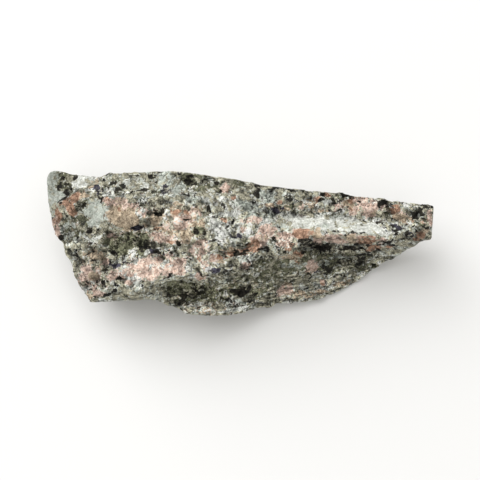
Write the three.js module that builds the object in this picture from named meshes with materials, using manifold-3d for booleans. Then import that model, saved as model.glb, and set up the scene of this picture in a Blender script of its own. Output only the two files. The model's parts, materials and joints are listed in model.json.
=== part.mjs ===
// A piece of granodiorite drill core, broken lengthwise. The hidden back and underside are the smooth drilled
// cylinder, the right end is square to it, and the face that shows is a rough break of coarse crystals. It has a
// bright ledge along its right half, an undercut slope below a crest, a nose at the lowest point of the outline
// and a thin wedge at the right. It lies on a small flat spot worn on the drilled side.
//
// The stone is drawn in its own face frame and then rolled into place. There, x runs along the core's axis, y runs
// across the broken face, from its lower edge up, and z is the depth, towards whoever looks at the face. Zero is
// on the axis. All sizes are in millimetres.

import * as THREE from "three";
import { mergeVertices } from "three/addons/utils/BufferGeometryUtils.js";
import Module from "manifold-3d";

// Driving dimensions
const CORE_RADIUS = 23.8; // a 47.6 mm core
const SQUARE_END = 63.3; // where the square end crosses the axis
const FACE_ROLL = THREE.MathUtils.degToRad(15); // how far the broken face leans towards its lower edge
const FLAT_SPOT_HALF_WIDTH = 8.5; // of the worn flat that the stone rests on
const STONE_COLOUR = 0x9a968a;
const STONE_ROUGHNESS = 0.85;

// How fine the surfaces are
const CORE_SEGMENTS = 96;
const COLUMNS_PER_STATION = 7;
const ROWS_IN_BAND = [1, 5, 5, 5, 6, 4, 4, 4, 1];
const OUTLINE_STEP = 1.8;
const WALL_STEP = 2;

// How rough the break is: flats left by whole crystals, and smaller ones between them
const COARSE_FLATS = { size: 9, lift: 0.75, slope: 0.24, softness: 0.7, salt: 11 };
const FINE_FLATS = { size: 4, lift: 0.42, slope: 0.28, softness: 0.4, salt: 29 };
const WALL_ROUGHNESS = 0.9;
const UNEVENNESS = 0.75; // how far the points of the face are scattered, as a share of their spacing
const STEP_SOFTNESS = 0.7; // half the width of a ledge's steep side

// How the broken edges fall away behind the outline
const EDGE_CENTRE = { x: -6, y: 1 };
const EDGE_UNDERCUT = 0.0045; // share of the distance to the centre lost per millimetre of depth
const WALL_TOP = 14;
const WALL_DEPTH = 42;
const PAST_THE_STONE = 30; // how far helper solids reach past everything they cut

// The outline of the piece seen square to the face, from the top left corner clockwise
const OUTLINE = [
  [-68.1, 17.3], [-67, 19.3], [-64.2, 19.7], [-60.9, 19.2], [-53.7, 18.8], [-49.6, 19.1], [-47.3, 20.3],
  [-41.7, 21.4], [-33.8, 22.4], [-28, 23.4], [-22, 24.6], [8, 24.6], [70, 24.6],
  [70, 11.5], [63.2, 9.8], [60.2, 9], [58.8, 7.3], [56.3, 5.7], [53.8, 3.8], [52.4, 2], [48.6, 0.3],
  [48.1, -0.8], [43.6, -4.8], [38.5, -8.8], [33.2, -12.4], [27.7, -14.9], [22.3, -16.2], [14.2, -17.6],
  [6.2, -20], [1.1, -22], [-7.1, -24.6], [-12.2, -24.6], [-17.7, -22.4], [-24.2, -20.6], [-28.6, -20.1],
  [-39.1, -22], [-47.2, -23.4], [-48.6, -23.1], [-51.4, -19.4], [-54, -15.7], [-56.8, -9.9], [-59.1, -6.1],
  [-60.5, -4.2], [-61.7, -3.7], [-63.5, -2.5], [-64.8, 1.4], [-66.5, 7.3], [-67.7, 13.3],
];

// The lines that shape the broken face, each followed from left to right: distance along, distance across, depth
const FACE_LINES = {
  outside_top: [
    [-70, 30, -10], [-60, 30, -7], [-50, 30, -6], [-40, 30, -6], [-30, 30, -8], [-20, 30, -5], [-10, 30, -8],
    [2, 30, -9], [14, 30, -11], [26, 30, -11], [38, 30, -11], [50, 30, -11], [72, 30, -11],
  ],
  brow: [
    [-70, 19.5, -9], [-60, 19.2, -6.5], [-50, 18.9, -4.5], [-40, 21.1, -4], [-30, 22.6, -6], [-20, 23.5, -2.5],
    [-10, 23, -5.6], [2, 22.8, -7.2], [14, 22, -9.2], [26, 21.8, -9.5], [38, 22, -9.4], [50, 21.9, -9.5],
    [72, 21.6, -9.6],
  ],
  shoulder: [
    [-70, 12, -8], [-60, 10.7, -5], [-50, 11.4, -2], [-40, 12.2, 0], [-30, 13.6, 0.3], [-20, 14.3, 0.5],
    [-10, 15.1, -0.5], [2, 15, -2], [14, 13.7, -5], [26, 14.7, -6.6], [38, 15.3, -7.2], [50, 14.9, -7.6],
    [72, 15, -8],
  ],
  upper_face: [
    [-70, 5, -7], [-60, 2.5, -4.6], [-50, 2.5, -0.6], [-40, 4.6, 0.8], [-30, 5.7, 1.5], [-20, 6.8, 1.5],
    [-10, 6.8, 0.8], [2, 7.1, -0.5], [14, 7.8, -2.6], [26, 10.4, -4], [38, 12, -5], [50, 12, -6],
    [72, 13, -7],
  ],
  lower_face: [
    [-70, -1, -7], [-60, -1.5, -5], [-50, -8, -1.4], [-40, -3, -0.8], [-30, -1.9, 0.3], [-20, -2.5, 1.8],
    [-10, -1.4, 1.3], [2, 0.5, 0.5], [14, 3.5, -1.3], [26, 8.4, -2.5], [38, 10, -3.5], [50, 9.9, -5],
    [72, 11.5, -6.5],
  ],
  crest: [
    [-70, -6, -8], [-60, -6, -6], [-50, -20.5, -1], [-40, -17.9, 2.5], [-30, -14.5, 3.5], [-20, -11.8, 3],
    [-10, -9.4, 2], [2, -4.1, 0.8], [14, 0.5, -1], [26, 7.1, -1.8], [38, 8.4, -2.5], [50, 8.2, -4.5],
    [72, 10.5, -6],
  ],
  foot: [
    [-70, -10, -9], [-60, -9, -8], [-50, -22, -2.5], [-40, -19.5, 1.2], [-30, -16.8, 1.5], [-20, -14.4, -2.5],
    [-10, -12.7, -3.5], [2, -8.7, -3.5], [14, -2.8, -6], [26, 3.7, -9], [38, 4.6, -10.5], [50, 6, -10.5],
    [72, 9.5, -9],
  ],
  hollow: [
    [-70, -15, -10], [-60, -14, -9], [-50, -23.2, -3.5], [-40, -20.9, 0.2], [-30, -18.8, 0.3], [-20, -17.7, -4.5],
    [-10, -16.7, -6], [2, -13.3, -7.5], [14, -10, -10], [26, -4.8, -12.6], [38, -1.5, -14.6], [50, 4.1, -14],
    [72, 8.5, -12],
  ],
  rim: [
    [-70, -20, -11], [-60, -19, -10], [-50, -24.5, -4.5], [-40, -22.3, -0.6], [-30, -20.7, -0.6], [-20, -22, -4],
    [-10, -22.4, -1.8], [2, -19.8, -8.8], [14, -16.8, -12.4], [26, -13.9, -15.4], [38, -7.3, -18], [50, 2, -18],
    [72, 7.5, -15],
  ],
  outside_bottom: [
    [-70, -30, -12], [-60, -30, -11], [-50, -30, -5], [-40, -30, -1], [-30, -30, -1], [-20, -30, -4],
    [-10, -30, -1.5], [2, -30, -9.5], [14, -30, -14], [26, -30, -19], [38, -30, -24], [50, -30, -26],
    [72, -30, -26],
  ],
};

// Dents and knobs on the face: place, size along and across, and how far they rise (or sink, below zero)
const FACE_SWELLS = [
  { name: "dark hollow", x: -37, y: 1.5, along: 9, across: 4.5, rise: -1.3 },
  { name: "quartz boss", x: -47, y: 9.5, along: 5, across: 4, rise: 0.9 },
  { name: "pit under the ledge", x: 22, y: 3.5, along: 6, across: 2.2, rise: -1.6 },
  { name: "black pit", x: -26.5, y: 11.5, along: 2.6, across: 2, rise: -1.2 },
  { name: "pink knob", x: -27, y: -8, along: 7, across: 3.5, rise: 0.8 },
  { name: "pale knob", x: -13, y: 4, along: 6, across: 4, rise: 0.7 },
  { name: "ledge back", x: 31, y: 13.5, along: 16, across: 2, rise: -0.7 },
  { name: "undercut pocket", x: -15, y: -15.5, along: 8, across: 2, rise: -1.4 },
  { name: "second pocket", x: 0, y: -13.5, along: 6, across: 2.4, rise: -1.1 },
];

// Sharp ledges on the face, each standing higher on the left of its way and dying away behind it
const FACE_LEDGES = [
  { name: "left facet", from: [-55.5, 21], to: [-62, 2], rise: 3.4, fade: 6 },
  { name: "left corner", from: [-61, 0], to: [-51, -19], rise: 1.6, fade: 4 },
  { name: "tan shelf", from: [-45, 2.8], to: [-29, 2], rise: 2, fade: 4 },
  { name: "middle streak", from: [-20, -1.4], to: [6, -3.4], rise: 1.8, fade: 3 },
  { name: "pink shelf", from: [-39, -6.4], to: [-20, -3.5], rise: -1.3, fade: 3 },
  { name: "flat strip", from: [2, 13.6], to: [56, 17], rise: 1.2, fade: 3 },
  { name: "brow", from: [-46, 14.3], to: [-12, 17.4], rise: -1.4, fade: 4 },
  { name: "lower lip", from: [-8, -10.4], to: [24, -6], rise: 2.2, fade: 3.5 },
  { name: "foot ledge", from: [8, -13], to: [42, -1], rise: 2.2, fade: 3.5 },
  { name: "right streak", from: [26, 0.4], to: [52, 4.8], rise: 1.8, fade: 2.5 },
];

// A number from 0 to 1 that depends only on three whole numbers and a salt.
function scatter(i, j, k, salt) {
  let h = Math.imul(i, 374761393) + Math.imul(j, 668265263) + Math.imul(k, 1274126177) + Math.imul(salt, 974711);
  h = Math.imul(h ^ (h >>> 13), 1103515245);
  h = Math.imul(h ^ (h >>> 16), 2246822519);
  return ((h ^ (h >>> 15)) >>> 0) / 4294967296;
}

// The height of a surface broken into flats, each tilted its own way around its own middle, with soft edges.
function flats(point, { size, lift, slope, softness, salt }) {
  const cell = point.clone().divideScalar(size).floor();
  const middle = new THREE.Vector3();
  let weights = 0;
  let height = 0;
  for (let i = cell.x - 1; i <= cell.x + 1; i++) {
    for (let j = cell.y - 1; j <= cell.y + 1; j++) {
      for (let k = cell.z - 1; k <= cell.z + 1; k++) {
        const spread = [1, 2, 3].map((n) => scatter(i, j, k, salt + n));
        middle.set(i + spread[0], j + spread[1], k + spread[2]).multiplyScalar(size);
        const weight = Math.exp(-middle.distanceTo(point) / softness);
        const tilt = [4, 5, 6].map((n) => (scatter(i, j, k, salt + n) - 0.5) * 2 * slope);
        const rise = (scatter(i, j, k, salt + 7) - 0.5) * 2 * lift;
        const away = middle.sub(point).negate();
        weights += weight;
        height += weight * (rise + tilt[0] * away.x + tilt[1] * away.y + tilt[2] * away.z);
      }
    }
  }
  return height / weights;
}

function roughness(point) {
  return flats(point, COARSE_FLATS) + flats(point, FINE_FLATS);
}

function swells(x, y) {
  return FACE_SWELLS.reduce((sum, s) => {
    const away = ((x - s.x) / s.along) ** 2 + ((y - s.y) / s.across) ** 2;
    return sum + s.rise * Math.exp(-away);
  }, 0);
}

function ledges(x, y) {
  const place = new THREE.Vector2(x, y);
  return FACE_LEDGES.reduce((sum, { from, to, rise, fade }) => {
    const start = new THREE.Vector2(...from);
    const way = new THREE.Vector2(...to).sub(start);
    const along = place.clone().sub(start).dot(way) / way.lengthSq();
    if (along <= 0 || along >= 1) return sum;
    const side = way.cross(place.clone().sub(start)) / way.length();
    const ends = Math.sqrt(Math.sin(Math.PI * along));
    return sum + 0.5 * rise * ends * Math.tanh(side / STEP_SOFTNESS) * Math.exp(-Math.abs(side) / fade);
  }, 0);
}

// A box whose top is drawn over the face lines, so that each line stays a sharp edge of the mesh.
function faceSlab() {
  const lines = Object.values(FACE_LINES).map(
    (points) =>
      new THREE.CatmullRomCurve3(points.map((p) => new THREE.Vector3(...p)), false, "catmullrom", 0.4),
  );
  const stations = FACE_LINES.brow.length - 1;
  const columns = stations * COLUMNS_PER_STATION;
  const rows = ROWS_IN_BAND.reduce((sum, n) => sum + n, 0);
  const geometry = new THREE.BoxGeometry(1, 1, 1, columns, rows, 1);
  const position = geometry.getAttribute("position");
  const rowPlaces = ROWS_IN_BAND.flatMap((n, band) => Array.from({ length: n }, (_, i) => band + i / n));
  rowPlaces.push(ROWS_IN_BAND.length);
  const point = new THREE.Vector3();
  for (let i = 0; i < position.count; i++) {
    const column = Math.round((position.getX(i) + 0.5) * columns);
    const row = Math.round((0.5 - position.getY(i)) * rows);
    const inside = column > 0 && column < columns && row > 0 && row < rows;
    const [aside, across] = [1, 2].map((n) => (inside ? (scatter(column, row, 0, n) - 0.5) * UNEVENNESS : 0));
    const along = (column + aside) / columns;
    const next = across < 0 ? rowPlaces[row - 1] : rowPlaces[row + 1];
    const place = inside ? THREE.MathUtils.lerp(rowPlaces[row], next, Math.abs(across)) : rowPlaces[row];
    const band = Math.min(Math.floor(place), lines.length - 2);
    point.lerpVectors(lines[band].getPoint(along), lines[band + 1].getPoint(along), place - band);
    if (position.getZ(i) > 0) {
      point.z += swells(point.x, point.y) + ledges(point.x, point.y) + roughness(point);
    } else {
      point.z = -CORE_RADIUS - PAST_THE_STONE;
    }
    position.setXYZ(i, point.x, point.y, point.z);
  }
  return geometry;
}

// The outline with its long sides divided, so that its walls can be roughened.
function outlineShape() {
  const points = OUTLINE.map(([x, y]) => new THREE.Vector2(x, y));
  const divided = points.flatMap((from, i) => {
    const to = points[(i + 1) % points.length];
    const parts = Math.max(1, Math.round(from.distanceTo(to) / OUTLINE_STEP));
    return Array.from({ length: parts }, (_, n) => from.clone().lerp(to, n / parts));
  });
  return new THREE.Shape(divided.reverse());
}

// A function that gives the depth of the broken face at any place, found by looking down on it.
function faceDepths(slab) {
  const mesh = new THREE.Mesh(slab, new THREE.MeshBasicMaterial());
  const ray = new THREE.Raycaster();
  const known = new Map();
  return (x, y) => {
    const key = `${x.toFixed(3)} ${y.toFixed(3)}`;
    if (!known.has(key)) {
      ray.set(new THREE.Vector3(x, y, 2 * PAST_THE_STONE), new THREE.Vector3(0, 0, -1));
      known.set(key, ray.intersectObject(mesh)[0].point.z);
    }
    return known.get(key);
  };
}

// The broken edges: the outline carried down behind the face, drawing in below it.
function edgeWalls(faceDepth) {
  const geometry = new THREE.ExtrudeGeometry(outlineShape(), {
    depth: WALL_DEPTH,
    steps: Math.round(WALL_DEPTH / WALL_STEP),
    bevelEnabled: false,
  });
  geometry.translate(0, 0, WALL_TOP - WALL_DEPTH);
  const position = geometry.getAttribute("position");
  const point = new THREE.Vector3();
  for (let i = 0; i < position.count; i++) {
    point.fromBufferAttribute(position, i);
    const out = new THREE.Vector3(point.x - EDGE_CENTRE.x, point.y - EDGE_CENTRE.y, 0);
    const depth = Math.max(0, faceDepth(point.x, point.y) - point.z);
    const reach = out.length() * (1 - EDGE_UNDERCUT * depth);
    const rough = depth > 0 ? WALL_ROUGHNESS * roughness(point) * Math.min(1, depth / WALL_STEP) : 0;
    out.setLength(reach + rough);
    position.setXYZ(i, EDGE_CENTRE.x + out.x, EDGE_CENTRE.y + out.y, point.z);
  }
  return geometry;
}

function drilledCylinder() {
  const length = 4 * PAST_THE_STONE + SQUARE_END;
  const geometry = new THREE.CylinderGeometry(CORE_RADIUS, CORE_RADIUS, length, CORE_SEGMENTS);
  geometry.rotateZ(Math.PI / 2);
  return geometry;
}

function pastSquareEnd() {
  const side = 2 * (CORE_RADIUS + PAST_THE_STONE);
  const geometry = new THREE.BoxGeometry(side, side, side);
  geometry.translate(SQUARE_END + side / 2, 0, 0);
  return geometry;
}

// Everything below the level of the flat spot, once the stone is rolled into place.
function belowFlatSpot() {
  const side = 4 * (SQUARE_END + PAST_THE_STONE);
  const level = Math.sqrt(CORE_RADIUS ** 2 - FLAT_SPOT_HALF_WIDTH ** 2);
  const geometry = new THREE.BoxGeometry(side, side, side);
  geometry.translate(0, 0, -level - side / 2);
  geometry.rotateX(-FACE_ROLL);
  return geometry;
}

const wasm = await Module();
wasm.setup();

function solid(geometry) {
  const bare = geometry.index ? geometry.toNonIndexed() : geometry.clone();
  bare.deleteAttribute("normal");
  bare.deleteAttribute("uv");
  const merged = mergeVertices(bare, 1e-4);
  return new wasm.Manifold(
    new wasm.Mesh({
      numProp: 3,
      vertProperties: new Float32Array(merged.getAttribute("position").array),
      triVerts: new Uint32Array(merged.index.array),
    }),
  );
}

// The largest body of a cut solid, without the crumbs that a rough cut can leave beside it.
function mainBody(shape) {
  return shape.decompose().reduce((a, b) => (a.volume() > b.volume() ? a : b));
}

function coreGeometry() {
  const slab = faceSlab();
  const broken = solid(slab).intersect(solid(drilledCylinder())).intersect(solid(edgeWalls(faceDepths(slab))));
  const whole = mainBody(broken.subtract(solid(pastSquareEnd())).subtract(solid(belowFlatSpot())));
  const mesh = whole.getMesh();
  const geometry = new THREE.BufferGeometry();
  geometry.setAttribute("position", new THREE.BufferAttribute(new Float32Array(mesh.vertProperties), 3));
  geometry.setIndex(new THREE.BufferAttribute(new Uint32Array(mesh.triVerts), 1));
  return geometry;
}

function graniteCore() {
  const geometry = coreGeometry();
  geometry.rotateX(FACE_ROLL);
  geometry.computeBoundingBox();
  const { min, max } = geometry.boundingBox;
  const material = new THREE.MeshStandardMaterial({
    color: STONE_COLOUR,
    roughness: STONE_ROUGHNESS,
    metalness: 0,
    flatShading: true,
  });
  const mesh = new THREE.Mesh(geometry, material);
  mesh.name = "granodiorite_core";
  mesh.position.set(-(min.x + max.x) / 2, -(min.y + max.y) / 2, -min.z);
  return mesh;
}

const part = new THREE.Group();
part.add(graniteCore());

export default part;
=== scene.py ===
"""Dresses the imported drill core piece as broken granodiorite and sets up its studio."""

import json
import logging
import math
from dataclasses import dataclass, field
from enum import Enum

import bmesh
import bpy
import numpy as np
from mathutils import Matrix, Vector, noise

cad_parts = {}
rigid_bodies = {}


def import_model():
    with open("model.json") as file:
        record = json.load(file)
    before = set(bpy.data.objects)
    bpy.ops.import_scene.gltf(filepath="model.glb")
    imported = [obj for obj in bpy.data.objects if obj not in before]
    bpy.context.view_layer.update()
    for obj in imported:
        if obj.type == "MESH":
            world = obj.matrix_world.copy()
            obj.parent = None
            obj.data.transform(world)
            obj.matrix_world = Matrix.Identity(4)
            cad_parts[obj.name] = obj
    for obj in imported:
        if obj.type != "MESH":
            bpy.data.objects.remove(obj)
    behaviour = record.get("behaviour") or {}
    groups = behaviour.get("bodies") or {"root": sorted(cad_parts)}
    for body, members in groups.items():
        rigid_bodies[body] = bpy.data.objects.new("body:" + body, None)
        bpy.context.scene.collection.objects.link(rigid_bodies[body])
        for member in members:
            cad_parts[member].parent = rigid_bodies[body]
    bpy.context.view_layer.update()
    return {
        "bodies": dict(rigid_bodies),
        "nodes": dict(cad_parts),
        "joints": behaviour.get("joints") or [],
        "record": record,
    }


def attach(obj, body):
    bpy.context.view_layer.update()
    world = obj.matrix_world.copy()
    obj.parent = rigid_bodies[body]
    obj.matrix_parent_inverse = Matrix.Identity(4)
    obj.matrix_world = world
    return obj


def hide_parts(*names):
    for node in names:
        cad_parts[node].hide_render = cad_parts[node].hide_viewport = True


LOG = logging.getLogger("core_sample")
MM = 0.001  # metres in a millimetre

CAD_NODE = "granodiorite_core"
BODY = "root"

SQUARE_END = 63.3  # mm along the axis
FLAT_HALF_WIDTH = 8.5  # mm, of the worn flat under the stone
FLAT_TOLERANCE = 0.01  # mm
MIDDLE = {"From Min": 0.3, "From Max": 0.7}  # where most of a noise's values lie
HALF = (0.5, 0.5, 0.5)  # the middle of a random colour's range
MIX_A, MIX_B, MIXED = 6, 7, 2  # a Mix node's inputs for two colours, and its output for them
MARKS = (
    ("BIOTITE", "VIOLET", "CHLORITE"),
    ("RUST", "TAN", "PINK"),
    ("PALE", "QUARTZ", "drilled"),
    ("relief", "slope", "rough"),
    ("light",),
)  # what the mesh carries to the material, three to an attribute


class Mineral(Enum):
    """What a grain is made of. The value is its place in the list of shares."""

    BIOTITE = 0
    VIOLET = 1
    CHLORITE = 2
    RUST = 3
    TAN = 4
    PINK = 5
    PALE = 6
    QUARTZ = 7
    MATRIX = 8


B, V, C, R = Mineral.BIOTITE, Mineral.VIOLET, Mineral.CHLORITE, Mineral.RUST
T, K, P, Q = Mineral.TAN, Mineral.PINK, Mineral.PALE, Mineral.QUARTZ

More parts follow.
